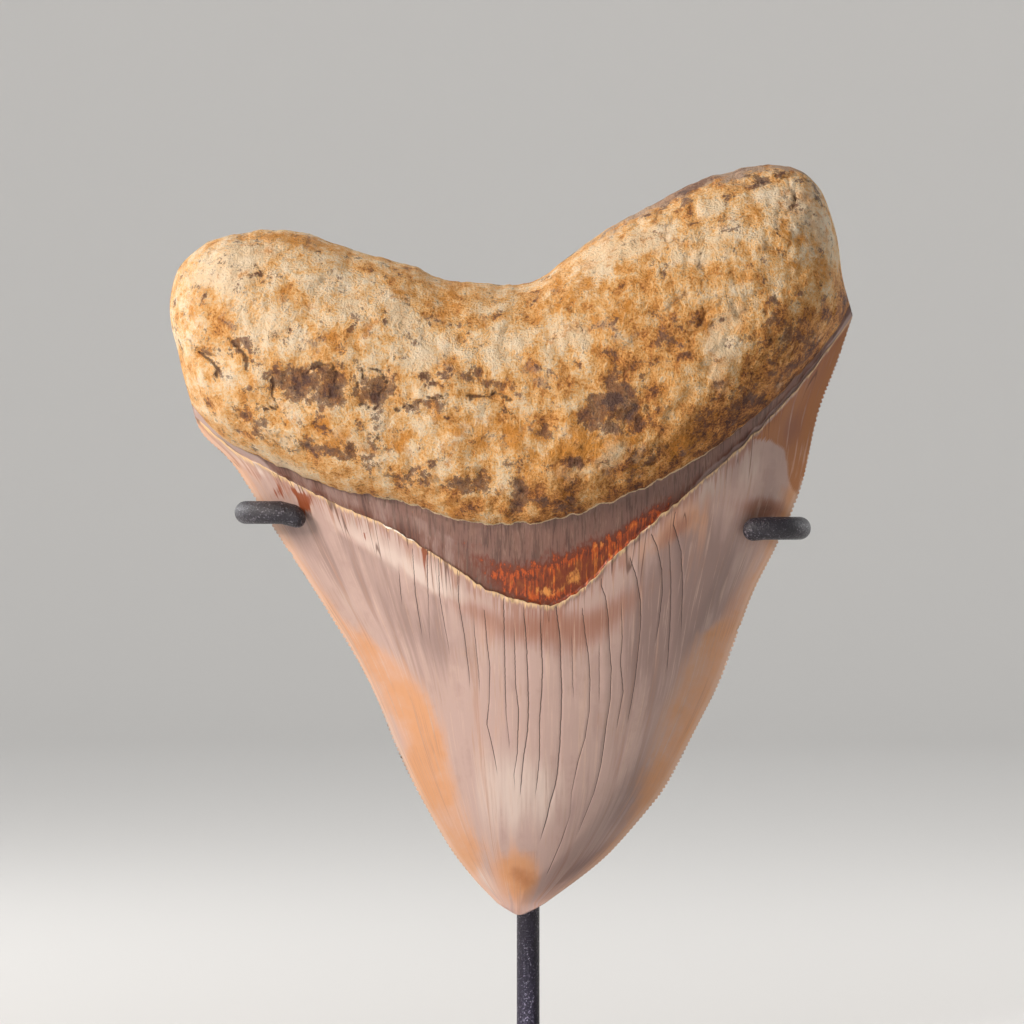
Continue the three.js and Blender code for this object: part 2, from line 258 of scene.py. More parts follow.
# %% The crown's cracks, as x, z and half width
CRACKS = [
    [(-27.3, 77.3, 0), (-26.7, 69.1, 0.14), (-26.0, 61.9, 0)],
    [(-24.1, 76.9, 0.1), (-23.5, 67.4, 0.16), (-22.5, 61.3, 0.12), (-21.6, 55.6, 0)],
    [
        (-21.0, 76.9, 0.16), (-21.0, 70.8, 0.16), (-20.8, 66.1, 0.1), (-20.6, 58.8, 0.08),
        (-19.3, 51.9, 0),
    ],
    [
        (-18.7, 75.0, 0.12), (-18.5, 67.4, 0.16), (-17.6, 61.9, 0.14), (-16.6, 56.5, 0.1),
        (-15.8, 51.0, 0),
    ],
    [
        (-14.7, 72.5, 0.14), (-14.5, 65.9, 0.18), (-13.4, 59.6, 0.18), (-12.4, 51.4, 0.14),
        (-12.0, 45.1, 0),
    ],
    [(-11.5, 66.1, 0), (-11.3, 60.5, 0.12), (-10.3, 50.6, 0.12), (-10.1, 43.7, 0)],
    [
        (-9.2, 64.5, 0.12), (-8.6, 57.3, 0.2), (-8.0, 52.3, 0.18), (-8.2, 45.1, 0.12),
        (-8.6, 41.2, 0.18), (-8.8, 34.6, 0.16), (-9.0, 29.4, 0),
    ],
    [
        (-5.2, 66.8, 0.14), (-5.0, 57.3, 0.22), (-4.8, 47.0, 0.2), (-4.6, 42.0, 0.12),
        (-4.0, 36.8, 0.12), (-4.0, 33.6, 0),
    ],
    [
        (-3.1, 64.0, 0), (-2.9, 57.3, 0.14), (-2.7, 48.9, 0.14), (-2.1, 43.7, 0.18),
        (-2.3, 34.6, 0.14), (-3.1, 29.2, 0.1), (-4.2, 24.1, 0),
    ],
    [
        (-1.1, 64.9, 0.08), (-0.8, 61.7, 0.2), (-0.4, 56.5, 0.24), (-0.2, 50.6, 0.22),
        (0.0, 44.5, 0.26), (-0.2, 39.1, 0.22), (-1.1, 33.0, 0.18), (-1.5, 28.3, 0.18), (-1.9, 23.5, 0),
    ],
    [
        (2.5, 63.6, 0), (2.5, 60.9, 0.16), (2.9, 52.3, 0.2), (2.7, 47.0, 0.2), (2.3, 41.2, 0.14),
        (2.3, 33.8, 0.14), (1.9, 29.2, 0.14), (1.1, 22.9, 0),
    ],
    [
        (5.7, 64.9, 0.18), (6.1, 61.5, 0.22), (6.5, 58.6, 0.26), (6.7, 52.3, 0.28), (6.9, 47.2, 0.42),
        (6.7, 41.2, 0.28), (6.5, 35.9, 0.26), (5.9, 29.2, 0.24), (5.2, 26.2, 0.34), (4.6, 24.4, 0.26),
        (3.8, 20.6, 0.22), (1.9, 14.1, 0),
    ],
    [(9.0, 61.9, 0), (9.0, 57.8, 0.1), (9.2, 48.9, 0.12), (9.7, 42.6, 0)],
    [
        (11.1, 64.9, 0.12), (11.8, 58.8, 0.24), (12.4, 55.2, 0.2), (12.8, 49.4, 0.22),
        (12.6, 43.0, 0.18), (11.8, 37.6, 0.2), (10.3, 32.5, 0.18), (9.0, 26.2, 0.1), (8.8, 21.6, 0.08),
        (6.9, 15.8, 0.18), (4.2, 9.4, 0.14), (3.1, 7.8, 0),
    ],
    [(14.7, 59.8, 0), (14.7, 55.6, 0.12), (14.7, 47.2, 0.12), (14.7, 41.8, 0)],
    [
        (14.7, 70.3, 0.16), (16.0, 66.8, 0.24), (16.6, 62.2, 0.3), (16.8, 56.7, 0.28),
        (17.2, 51.9, 0.24), (17.0, 45.4, 0.3), (16.2, 40.3, 0.3), (15.8, 36.8, 0.44),
        (15.1, 31.7, 0.28), (13.7, 26.0, 0.24), (12.4, 22.7, 0.2), (9.4, 14.9, 0),
    ],
    [
        (19.3, 68.2, 0), (19.3, 63.8, 0.12), (19.5, 58.4, 0.14), (19.1, 53.5, 0.16),
        (19.7, 47.2, 0.16), (18.7, 41.4, 0.14), (18.1, 37.8, 0),
    ],
    [
        (21.0, 75.2, 0.2), (22.5, 70.8, 0.3), (23.3, 65.7, 0.3), (23.3, 61.7, 0.24),
        (22.9, 56.5, 0.24), (22.1, 48.9, 0.22), (21.2, 43.7, 0.18), (20.4, 39.1, 0),
    ],
    [
        (25.4, 80.2, 0.16), (26.7, 77.3, 0.24), (27.7, 72.5, 0.24), (27.9, 68.2, 0.22),
        (27.1, 61.3, 0.18), (26.0, 55.2, 0),
    ],
    [
        (29.2, 78.5, 0.12), (29.6, 70.8, 0.16), (29.6, 64.7, 0.2), (29.4, 59.6, 0.2),
        (29.0, 53.5, 0.14), (28.8, 49.4, 0),
    ],
    [
        (29.4, 84.0, 0.18), (30.7, 80.2, 0.26), (31.7, 76.4, 0.26), (32.1, 69.1, 0.2),
        (31.9, 63.0, 0.14), (31.9, 56.5, 0),
    ],
]

# %% [markdown]
# ## Rows and columns
#
# The front and the back of the tooth are two grids that share their rims. Rows are closest where the form
# turns fastest: at the broken enamel edge, under the root's lip and over its top. The back needs half as
# many rows and columns, since its surface is calmer, and takes every second one so that the rims agree.

# %% Rows of the front
def uneven(count, *powers):
    """Shares from 0 to 1 that crowd towards 0 and 1 by a power each."""
    share = np.linspace(0, 1, count + 1)
    low, high = share ** powers[0], 1 - (1 - share) ** powers[1]
    return low * (1 - share) + high * share


CROWN_ROWS, BAND_ROWS, ROOT_ROWS = 136, 24, 104
COLUMNS = 292
BORDER_STEPS = (3.0, 2.4, 1.9, 1.5, 1.15, 0.85, 0.6, 0.38, 0.18, 0.0)
SHORTEST_COLUMN = 66
crown_up = np.concatenate([
    np.linspace(0, 1 - 3.5 / SHORTEST_COLUMN, CROWN_ROWS - len(BORDER_STEPS) + 1),
    1 - np.array(BORDER_STEPS) / SHORTEST_COLUMN,
])
band_up = uneven(BAND_ROWS, 1.5, 1.3)[1:]
root_up = uneven(ROOT_ROWS, 1.45, 1.6)[1:]
zone_of_row = np.repeat(["crown", "band", "root"], [len(crown_up), len(band_up), len(root_up)])
ROWS = len(zone_of_row) - 1
print("The front has", ROWS, "rows of quads")

# %% Columns that run along the cracks
SIDE_CROWDING, RIM_CROWDING = 0.5, 1.15
LEAST_CRACK_GAP, CRACK_GAP_SHARE = 0.55, 0.6
CRACK_WINGS, LEAST_WING, WING_GAP_SHARE = 1.3, 0.17, 0.4
SEARCH_STEPS, LENGTH_STEPS = 1500, 80
SETTLED_BY = 0.35


def eased(share):
    """Crowds even shares towards both ends."""
    return (1 - np.cos(np.pi * share)) / 2


def crack_paths(rows_up):
    """The share across at which each crack crosses each row, and its half width there in mm."""
    across = np.linspace(0, 1, SEARCH_STEPS)
    grid = crown_patch(np.tile(across, (len(rows_up), 1)), np.tile(rows_up[:, None], (1, len(across))))
    x, z = grid[..., 0], grid[..., 1]
    places, widths = [], []
    for crack in CRACKS:
        line = np.array(crack)[::-1]
        ahead = x - np.interp(z, line[:, 1], line[:, 0])
        inside = (z > line[0, 1]) & (z < line[-1, 1])
        crossing = inside[:, 1:] & (ahead[:, :-1] < 0) & (ahead[:, 1:] >= 0)
        found = np.flatnonzero(crossing.any(axis=1))
        column = crossing[found].argmax(axis=1)
        place = np.interp(np.arange(len(rows_up)), found, across[column + 1])
        width = np.zeros(len(rows_up))
        width[found] = np.interp(z[found, column], line[:, 1], line[:, 2])
        places.append(place)
        widths.append(width)
    return np.array(places).T, np.array(widths).T


def crown_columns(rows_up):
    """Where every column crosses each row, and which of them lie in a crack, with its half width.

    The cracks are put in order where they cross the row two thirds up, and kept apart on every row.
    """
    places, widths = crack_paths(rows_up)
    steps = np.linspace(0, 1, LENGTH_STEPS)[None, :].repeat(len(rows_up), 0)
    lines = crown_patch(steps, rows_up[:, None].repeat(LENGTH_STEPS, 1))
    length = np.hypot(*np.moveaxis(np.diff(lines, axis=1), -1, 0)).sum(axis=1)[:, None]
    order = places[len(rows_up) * 2 // 3].argsort()
    places, widths = places[:, order], widths[:, order]
    gap = np.minimum(LEAST_CRACK_GAP / length[:, 0], CRACK_GAP_SHARE / len(CRACKS))
    for k in range(1, places.shape[1]):
        places[:, k] = np.maximum(places[:, k], places[:, k - 1] + gap)
    wing = np.minimum(np.maximum(widths * CRACK_WINGS, LEAST_WING) / length, gap[:, None] * WING_GAP_SHARE)
    cells = COLUMNS - 2 * len(CRACKS)
    shares = np.diff(np.concatenate([[0], places[-1], [1]]))
    counts = np.maximum(2, np.round(shares * cells)).astype(int)
    counts[0] += cells - counts.sum()
    across, centres = [np.zeros((len(rows_up), 1))], []
    low = np.zeros(len(rows_up))
    for k, count in enumerate(counts):
        last = k == len(CRACKS)
        high = np.ones(len(rows_up)) if last else places[:, k] - wing[:, k]
        share = np.linspace(0, 1, count + 1)[1:]
        if k == 0:
            share = share**RIM_CROWDING
        if last:
            share = 1 - (1 - share) ** RIM_CROWDING
        across.append(low[:, None] + (high - low)[:, None] * share)
        if not last:
            centres.append(sum(part.shape[1] for part in across))
            across.append(places[:, [k]])
            across.append(places[:, [k]] + wing[:, [k]])
            low = places[:, k] + wing[:, k]
    across = np.concatenate(across, axis=1)
    groove = np.zeros_like(across)
    groove[:, centres] = widths
    return across, groove


crown_across, crown_groove = crown_columns(crown_up)
even = np.linspace(0, 1, COLUMNS + 1)
even = even * (1 - SIDE_CROWDING) + eased(even) * SIDE_CROWDING
settled = smooth_step(root_up, 0, SETTLED_BY)[:, None]
root_across = crown_across[-1] * (1 - settled) + even * settled
across = np.vstack([crown_across, np.tile(crown_across[-1], (len(band_up), 1)), root_across])
up = np.concatenate([crown_up, band_up, root_up])[:, None].repeat(COLUMNS + 1, axis=1)
print(len(CRACKS), "cracks run in", crown_across.shape[1], "columns")

# %% Places of the front's grid, in the outline's plane
patches = {"crown": crown_patch, "band": band_patch, "root": root_patch}
plan = np.zeros((ROWS + 1, COLUMNS + 1, 2))
for zone, patch in patches.items():
    rows = zone_of_row == zone
    plan[rows] = patch(across[rows], up[rows])
in_crown, in_band, in_root = ((zone_of_row == zone)[:, None] for zone in patches)
side = np.abs(2 * across - 1)
print("The front reaches from", plan[..., 0].min(), "to", plan[..., 0].max(), "mm")

# %% [markdown]
# ## The fine form of the root
#
# The root was porous bone, and minerals have filled it. Its face is lumpy at a centimetre, pitted and
# grainy at a millimetre, and where a thin outer skin has flaked off, a darker layer lies a little deeper.
# Low plates and a few bent cracks break it up. All of that moves real vertices here. Noise gives the
# lumps, plates and grain, and short lists of soft spots and lines say where this root flaked and cracked.
# The same spots and lines steer the paint later, so dark colour sits in the hollows.

# %% Soft spots and noise
def spots(x, z, table):
    """Adds up soft round spots: x, z, half width, half height, turn in degrees, strength."""
    total = np.zeros_like(x)
    for centre_x, centre_z, half_wide, half_high, turn, strength in table:
        cosine, sine = math.cos(math.radians(turn)), math.sin(math.radians(turn))
        along = ((x - centre_x) * cosine + (z - centre_z) * sine) / half_wide
        beside = ((z - centre_z) * cosine - (x - centre_x) * sine) / half_high
        total += strength * np.exp(-(along**2 + beside**2))
    return total


def noise_field(x, z, size, layer, octaves):
    """Smooth noise at each place, about -1 to 1, with lumps of a size in mm; a layer is one pattern."""
    places = zip((x / size).ravel().tolist(), (z / size).ravel().tolist())
    values = [noise.fractal(Vector((a, 10.0 * layer, b)), 1.0, 2.0, octaves) for a, b in places]
    return np.array(values).reshape(x.shape)


# %% Ragged borders
ENAMEL_ROW, ROOT_ROW = len(crown_up) - 1, len(crown_up) + len(band_up) - 1
ENAMEL_RAG = {"row": ENAMEL_ROW, "size": 1.9, "amount": 0.55, "reach": 2.4, "layer": 14}
ROOT_RAG = {"row": ROOT_ROW, "size": 3.2, "amount": 0.7, "reach": 3.0, "layer": 15}
TOP_RAG = {"row": ROWS, "size": 3.6, "amount": 0.45, "reach": 2.5, "layer": 16}
RAG_OCTAVES, RAG_CALM_POWER = 3, 8


def gap_to(row):
    """How far each place lies from the same column's place in a row, in mm."""
    return np.linalg.norm(plan - plan[row], axis=-1)


for rag in (ENAMEL_RAG, ROOT_RAG, TOP_RAG):
    line_x = plan[rag["row"], :, 0]
    wave = noise_field(line_x, np.zeros_like(line_x), rag["size"], rag["layer"], RAG_OCTAVES)
    wave = wave * (1 - side**RAG_CALM_POWER)
    plan[..., 1] += rag["amount"] * wave * near(gap_to(rag["row"]), rag["reach"])
front_x, front_z = plan[..., 0], plan[..., 1]
border_gap = gap_to(ENAMEL_ROW)
print("The border between enamel and band wanders by up to", ENAMEL_RAG["amount"], "mm")

# %% Where the root is dark, cream and rusty
ROOT_DARK = [
    (17.5, 108.0, 4.6, 6.0, -20, 1.0), (22.0, 103.5, 3.0, 4.0, 0, 0.7), (11.8, 104.6, 1.9, 3.4, 0, 0.8),
    (3.4, 102.1, 1.7, 3.4, 0, 0.7), (-9.5, 91.8, 2.4, 3.0, 0, 0.7), (-1.7, 88.5, 2.6, 4.4, 0, 0.8),
    (9.7, 94.3, 1.3, 1.6, 0, 0.8), (-8.0, 111.5, 5.0, 2.2, -20, 0.75), (-40.6, 110.3, 15.0, 5.0, -4, 0.4),
    (-47.9, 111.1, 5.4, 4.6, 0, 0.55), (-40.0, 109.2, 2.2, 5.0, 0, 0.6), (-31.5, 109.4, 3.6, 3.6, 0, 0.7),
    (-21.8, 107.1, 5.5, 1.5, -10, 0.4), (30.0, 121.0, 5.0, 2.4, 10, 0.5), (52.0, 122.5, 6.4, 5.0, 38, 0.5),
    (43.5, 111.3, 8.4, 2.4, 38, 0.4), (36.1, 102.9, 9.7, 2.0, 30, 0.4), (23.5, 94.5, 7.6, 2.0, 22, 0.4),
    (33.8, 152.2, 8.0, 2.1, 28, 0.6), (49.1, 153.5, 3.4, 1.9, 0, 0.7), (59.8, 150.5, 1.0, 3.2, 0, 0.6),
    (-15.3, 90.1, 10.5, 1.9, -14, 0.5), (-39.5, 96.6, 12.6, 1.9, -20, 0.5),
    (-57.3, 102.9, 6.3, 2.5, -35, 0.45), (-59.8, 119.3, 2.2, 2.0, 0, 0.5), (-66.8, 118.2, 2.0, 2.4, 0, 0.5),
    (6.7, 86.1, 4.6, 1.5, 4, 0.5), (57.1, 118.6, 3.8, 5.9, -30, 0.4), (-33.0, 99.5, 4.0, 1.6, -20, 0.45),
    (41.0, 146.0, 3.0, 5.0, 10, 0.35),
]
ROOT_CRACKS = [
    [(-52.3, 114.0), (-52.9, 111.3), (-52.1, 106.3), (-54.2, 105.6)],
    [(-46.5, 113.0), (-42.9, 115.4), (-40.3, 114.8), (-39.8, 112.0), (-41.2, 108.2)],
    [
        (-35.2, 110.3), (-34.6, 113.2), (-32.0, 114.2), (-29.8, 112.8), (-29.4, 109.8), (-31.2, 106.5),
        (-34.0, 106.0),
    ],
    [(-27.3, 105.6), (-22.6, 107.2), (-16.2, 108.8)],
    [(-12.2, 108.0), (-8.0, 109.2), (-3.4, 107.6)],
    [(-62.0, 120.4), (-58.6, 117.2), (-57.8, 113.6)],
    [(-68.0, 117.5), (-65.2, 115.6), (-64.4, 112.5)],
]
ROOT_CREAM = [
    (-61.5, 135.4, 10.1, 7.1, 0, 0.8), (-47.9, 121.8, 9.7, 7.1, 0, 0.55),
    (10.9, 121.2, 5.2, 3.1, 0, 0.9), (-2.9, 118.2, 7.6, 5.5, 0, 0.8),
    (20.4, 138.2, 9.7, 5.5, 30, 0.7), (38.9, 120.5, 4.6, 7.1, 0, 0.7),
    (-19.5, 115.5, 8.0, 7.1, 0, 0.6), (38.0, 148.5, 3.4, 3.1, 0, 0.9),
    (6.7, 92.6, 3.4, 2.9, 0, 0.5), (-29.0, 123.9, 8.4, 4.2, 0, 0.4), (50.8, 135.4, 4.2, 6.3, 0, 0.35),
    (-58.4, 124.9, 6.3, 5.0, 0, 0.5),
    (-24.8, 95.5, 5.0, 1.7, -20, 0.5), (-10.1, 106.0, 4.2, 2.1, 0, 0.4),
    (23.5, 115.5, 3.4, 2.5, 0, 0.4), (-1.7, 129.2, 8.4, 2.1, 0, 0.3), (54.0, 149.0, 7.0, 5.0, 0, 0.6),
]
ROOT_RUST = [
    (-47.9, 141.1, 14.7, 2.3, -6, 0.8), (9.2, 131.7, 7.1, 4.6, 25, 0.7),
    (-12.2, 101.8, 14.7, 7.1, -10, 0.55), (55.0, 141.8, 4.6, 9.2, -10, 0.5),
    (34.0, 99.8, 10.5, 2.9, 30, 0.5), (-37.4, 99.8, 14.7, 4.2, -18, 0.5),
    (-20.6, 129.2, 10.5, 3.4, -10, 0.5), (23.5, 124.9, 6.3, 5.0, 0, 0.4),
    (57.0, 149.0, 5.0, 5.0, 0, 0.35), (60.5, 138.0, 2.5, 7.0, 0, 0.5),
    (-68.9, 129.2, 2.5, 8.4, 0, 0.5), (15.1, 97.6, 10.5, 4.2, 12, 0.5),
    (44.5, 147.0, 4.2, 5.5, 20, 0.4), (6.7, 99.8, 8.4, 5.5, 0, 0.4),
]

# %% Lumps, plates, pits, flaked skin and creases of the root
ROOT_NOISES = {
    "lumps": {"size": 11.0, "octaves": 3}, "rough": {"size": 3.2, "octaves": 4},
    "grain": {"size": 1.3, "octaves": 2}, "creases": {"size": 9.0, "octaves": 3},
    "creased": {"size": 20.0, "octaves": 1}, "plates": {"size": 7.0, "octaves": 4},
}
LUMP_RISE, PLATE_RISE, ROUGH_RISE, GRAIN_RISE = 0.8, 0.28, 0.6, 0.24
ROUGH_IN_FLAKES, GRAIN_IN_PITS = 0.4, 0.3
PLATE_LIMITS, FLAKE_LIMITS, PIT_LIMITS, CREASE_LIMITS = (0.0, 0.1), (0.42, 0.62), (0.38, 0.85), (0.1, 0.5)
FLAKE_DEPTH, CREASE_WIDTH, CREASE_DEPTH = 0.5, 0.07, 0.5
FLAKE_SHADE, PIT_SHADE = 0.5, 0.6
CRACK_REACH, CRACK_DEPTH, WANDER_REACH = 0.42, 0.6, 0.9
CRACK_WANDER = {"size": 2.4, "layer": 18, "octaves": 3}
FRONT_ROOT_LAYER = 1


def nearness(x, z, lines, reach):
    """How near each place is to the nearest of some bent lines: 1 on a line, 0 beyond its reach in mm."""
    nearest = np.full_like(x, np.inf)
    for line in lines:
        for (from_x, from_z), (to_x, to_z) in zip(line, line[1:]):
            run_x, run_z = to_x - from_x, to_z - from_z
            share = np.clip(((x - from_x) * run_x + (z - from_z) * run_z) / (run_x**2 + run_z**2), 0, 1)
            nearest = np.minimum(nearest, np.hypot(x - from_x - share * run_x, z - from_z - share * run_z))
    return near(nearest, reach)


def root_surface(x, z, dark, first_layer):
    """How far the root's skin stands out in mm, and how deep each place lies in a pit, 0 to 1."""
    field = {
        name: noise_field(x, z, layer=first_layer + k, **settings)
        for k, (name, settings) in enumerate(ROOT_NOISES.items())
    }
    plates = smooth_step(field["plates"], *PLATE_LIMITS)
    flaked = smooth_step(dark + ROUGH_IN_FLAKES * field["rough"], *FLAKE_LIMITS)
    pits = smooth_step(field["rough"] + GRAIN_IN_PITS * field["grain"], *PIT_LIMITS)
    creased = smooth_step(field["creased"] + dark, *CREASE_LIMITS)
    crease = (1 - smooth_step(np.abs(field["creases"]), 0, CREASE_WIDTH)) * creased
    out = LUMP_RISE * field["lumps"] + PLATE_RISE * plates
    out = out + ROUGH_RISE * field["rough"] + GRAIN_RISE * field["grain"]
    out = out - FLAKE_DEPTH * (flaked + pits) - CREASE_DEPTH * crease
    return out, np.clip(FLAKE_SHADE * flaked + PIT_SHADE * pits + crease, 0, 1)


root_dark = spots(front_x, front_z, ROOT_DARK)
root_out, root_pit = root_surface(front_x, front_z, root_dark, FRONT_ROOT_LAYER)
wander = WANDER_REACH * noise_field(front_x, front_z, **CRACK_WANDER)
root_crack = nearness(front_x + wander, front_z - wander, ROOT_CRACKS, CRACK_REACH)
root_out = root_out - CRACK_DEPTH * root_crack
print("The root's skin moves by", root_out.min(), "to", root_out.max(), "mm")

# %% [markdown]
# ## The fine form of the crown and the band
#
# The crown's enamel ends in a broken edge that stands above the band. That edge is a low ridge whose
# height noise breaks into chips. The band lies half a millimetre lower. On the right an enamel ridge runs
# up beside the root, and near the tip a shallow groove was worn. Each crack is a groove about a fifth as
# deep as it is wide.

# %% Ridge, chips, worn places and grooves of the crown
RIDGE_RISE, RIDGE_WIDTH = 0.42, 0.9
CHIPS = {"size": 1.7, "layer": 11, "octaves": 3}
CHIP_LIMITS = (-0.55, 0.15)
CROWN_WAVES = {"size": 14.0, "layer": 12, "octaves": 2}
WAVE_RISE = 0.16
BAND_DROP, BAND_STEP, BAND_END = 0.55, 0.5, (0.9, 1.0)
TAPER_POWER = 4
GROOVE_SHARE = 0.38
WORN = [
    (12.0, 9.9, 10.9, 1.1, 38, 0.45), (-41.6, 64.9, 1.1, 0.4, 30, 0.3),
    (-53.1, 91.8, 0.6, 3.4, 35, 0.25), (55.0, 101.8, 2.1, 9.2, -14, 0.5),
    (49.8, 85.5, 2.9, 1.9, 0, 0.3),
]
RAISED = [
    (43.5, 96.6, 9.7, 1.9, 38, 0.5), (57.1, 111.3, 9.2, 1.7, 54, 0.45),
    (-50.6, 93.5, 6.3, 0.8, -38, 0.3),
]

chips = smooth_step(noise_field(front_x, front_z, **CHIPS), *CHIP_LIMITS)
ridge = near(np.where(in_crown, border_gap, 0), RIDGE_WIDTH) * chips
crown_out = RIDGE_RISE * ridge + WAVE_RISE * noise_field(front_x, front_z, **CROWN_WAVES)
crown_out += spots(front_x, front_z, RAISED) - spots(front_x, front_z, WORN)
groove = np.zeros_like(front_x)
groove[: len(crown_up)] = crown_groove
crown_out -= GROOVE_SHARE * groove
into_band = smooth_step(np.where(in_band, border_gap, 0), 0, BAND_STEP)
taper = 1 - side**TAPER_POWER
band_out = -BAND_DROP * into_band * taper * (1 - smooth_step(up, *BAND_END))
print("The broken edge stands up to", crown_out.max(), "mm proud")

# %% The front's depth
SIDE_FADE, TOP_FADE, ROOT_ONSET = (1.0, 0.985), (1.0, 0.97), (0.0, 0.05)
TIP_ONSET, THICK_ONSET = (0, 6), (0.2, 1.6)


def with_flat_rim(depth):
    """The same depths with none along the grid's rim, where the two sheets meet."""
    flat = np.zeros_like(depth)
    flat[1:-1, 1:-1] = depth[1:-1, 1:-1]
    return flat


crown = crown_depth(CROWN_FRONT, front_x, front_z)
rise = BORDER_RISE * taper
depth = np.where(in_band, crown + rise * up, crown)
depth = np.where(in_root, root_depth(ROOT_FRONT, crown + rise, side, up), depth)
fade = smooth_step(side, *SIDE_FADE) * np.where(in_root, smooth_step(up, *TOP_FADE), 1.0)
detail = np.where(in_root, root_out * smooth_step(up, *ROOT_ONSET), np.where(in_band, band_out, crown_out))
blade = smooth_step(front_z, *TIP_ONSET) * smooth_step(crown, *THICK_ONSET)
depth = with_flat_rim(depth + detail * fade * np.where(in_root, 1.0, blade))
front_y = edge_y(front_z) - depth
print("The front is up to", depth.max(), "mm deep")

# %% [markdown]
# ## The back of the tooth
#
# The photograph never shows the back, so it is made as such teeth are: nearly flat, with enamel that
# climbs higher on the root, and the same skin without special marks. Its rim must meet the front's rim
# vertex for vertex, so its side curves are read from the front's own rim.

# %% Places of the back's grid
EVEN_BY = 0.15
front_sides = [plan[: ROOT_ROW + 1, column] for column in (0, -1)]
side_length = sum(
    np.concatenate([[0], np.cumsum(np.hypot(*np.diff(line, axis=0).T))]) for line in front_sides
)
side_share = side_length / side_length[-1]


def along_side(line):
    """Gives a function from the share of the crown's height to a point of one of the front's sides."""
    return lambda share: np.stack([np.interp(share, side_share, line[:, k]) for k in (0, 1)], axis=-1)


back_crown_up = side_share[::2]
back_up = np.concatenate([back_crown_up, root_up[1::2]])[:, None].repeat(COLUMNS // 2 + 1, axis=1)
from_tip = smooth_step(np.arange(len(back_up)) / len(back_up), 0, EVEN_BY)[:, None]
back_across = across[0, ::2] * (1 - from_tip) + even[::2] * from_tip
back_patch = patch_between(edge["tip"], edge["back"], *map(along_side, front_sides))
back_root_patch = patch_between(edge["back"], edge["top"], edge["root_left"], edge["root_right"])
back_in_root = (np.arange(len(back_up)) >= len(back_crown_up))[:, None]
back_plan = np.where(
    back_in_root[..., None], back_root_patch(back_across, back_up), back_patch(back_across, back_up)
)
back_x, back_z = back_plan[..., 0], back_plan[..., 1]
print("The back reaches from", back_x.min(), "to", back_x.max(), "mm")

# %% The back's depth
BACK_DARK = {"base": 0.25, "weight": 0.6, "size": 16, "layer": 31, "octaves": 3}
BACK_ROOT_LAYER = 32
BACK_RIDGE_RISE, BACK_RIDGE_WIDTH = 0.35, 1.2
BACK_WAVES = {"size": 15, "layer": 37, "octaves": 2}
BACK_WAVE_RISE = 0.14
BACK_SIDE_FADE, BACK_TOP_FADE = (1.0, 0.97), (1.0, 0.95)
BACK_TIP_ONSET, BACK_THICK_ONSET = (0, 8), (0.1, 1)


def on_back(base, weight, **settings):
    """A number at every place of the back: a base value and noise of a weight."""
    return base + weight * noise_field(back_x, back_z, **settings)


back_side = np.abs(2 * back_across - 1)
back_crown = crown_depth(CROWN_BACK, back_x, back_z)
back_depth = np.where(back_in_root, root_depth(ROOT_BACK, back_crown, back_side, back_up), back_crown)
back_dark = np.clip(on_back(**BACK_DARK), 0, 1)
back_out, back_pit = root_surface(back_x, back_z, back_dark * back_in_root, BACK_ROOT_LAYER)
back_gap = np.linalg.norm(back_plan - back_plan[len(back_crown_up) - 1], axis=-1)
back_ridge = BACK_RIDGE_RISE * near(back_gap, BACK_RIDGE_WIDTH)
back_ridge = back_ridge + BACK_WAVE_RISE * noise_field(back_x, back_z, **BACK_WAVES)
back_fade = np.where(back_in_root, smooth_step(back_up, *BACK_TOP_FADE), 1)
back_fade = smooth_step(back_side, *BACK_SIDE_FADE) * back_fade
back_detail = np.where(back_in_root, back_out * smooth_step(back_up, *ROOT_ONSET), back_ridge)
back_detail = back_detail * back_fade * smooth_step(back_z, *BACK_TIP_ONSET)
back_depth = with_flat_rim(back_depth + back_detail * smooth_step(back_crown, *BACK_THICK_ONSET))
back_y = edge_y(back_z) + back_depth
print("The back is up to", back_depth.max(), "mm deep")

# %% [markdown]
# ## Paint as vertex attributes
#
# The stains follow this tooth, not a repeating pattern, so their places are soft spots too. Each kind of
# stain is one number at every vertex: how much peach, brown, grey or pale enamel there is, how much rust
# or dark mineral the root holds. The materials read those numbers and break their soft edges with fine
# noise, which keeps the boundaries sharp at any distance. Some numbers carry painted light too: the grey
# holds painted shade over the crown's right side, the root's tone painted shade low down and painted
# light on its left, and the pale, edge, gold and glint numbers painted highlights. One number isn't a
# stain: the fan is a coordinate whose lines spread from the point as the crystals do. The tip has a round
# tan spot of its own, and the shoulder beside the root a tan patch with a clear edge.

# %% The crown's stains
LEFT_PEACH = [
    (0, 0), (8, 1), (14, 6), (20, 7), (28, 8.5), (38, 11), (46, 10.5), (54, 8.0), (60, 3.5), (64, 0.8),
    (90, 0.8),
]
RIGHT_PEACH = [
    (0, 0), (10, 0.8), (20, 2), (32, 5.5), (42, 8), (52, 8.5), (59, 7.5), (63, 3.4), (76, 2.2), (88, 2.4),
    (100, 3.0), (112, 3), (122, 2),
]
PEACH_SOFTNESS = 6.0
ENAMEL_PEACH = [
    (-2.4, 8.4, 4.6, 5.4, 0, 1.5), (0.4, 42.0, 12.6, 7.6, 0, 0.16), (-58.4, 93.5, 2.9, 5.0, 30, 0.4),
    (15.1, 45.1, 5.5, 12.6, 0, 0.14), (-8.5, 60.0, 6, 3, 0, 0.2), (27.5, 80.0, 9.0, 2.6, 41, 0.6),
    (34.5, 83.0, 3.0, 4.5, 20, 0.4),
]
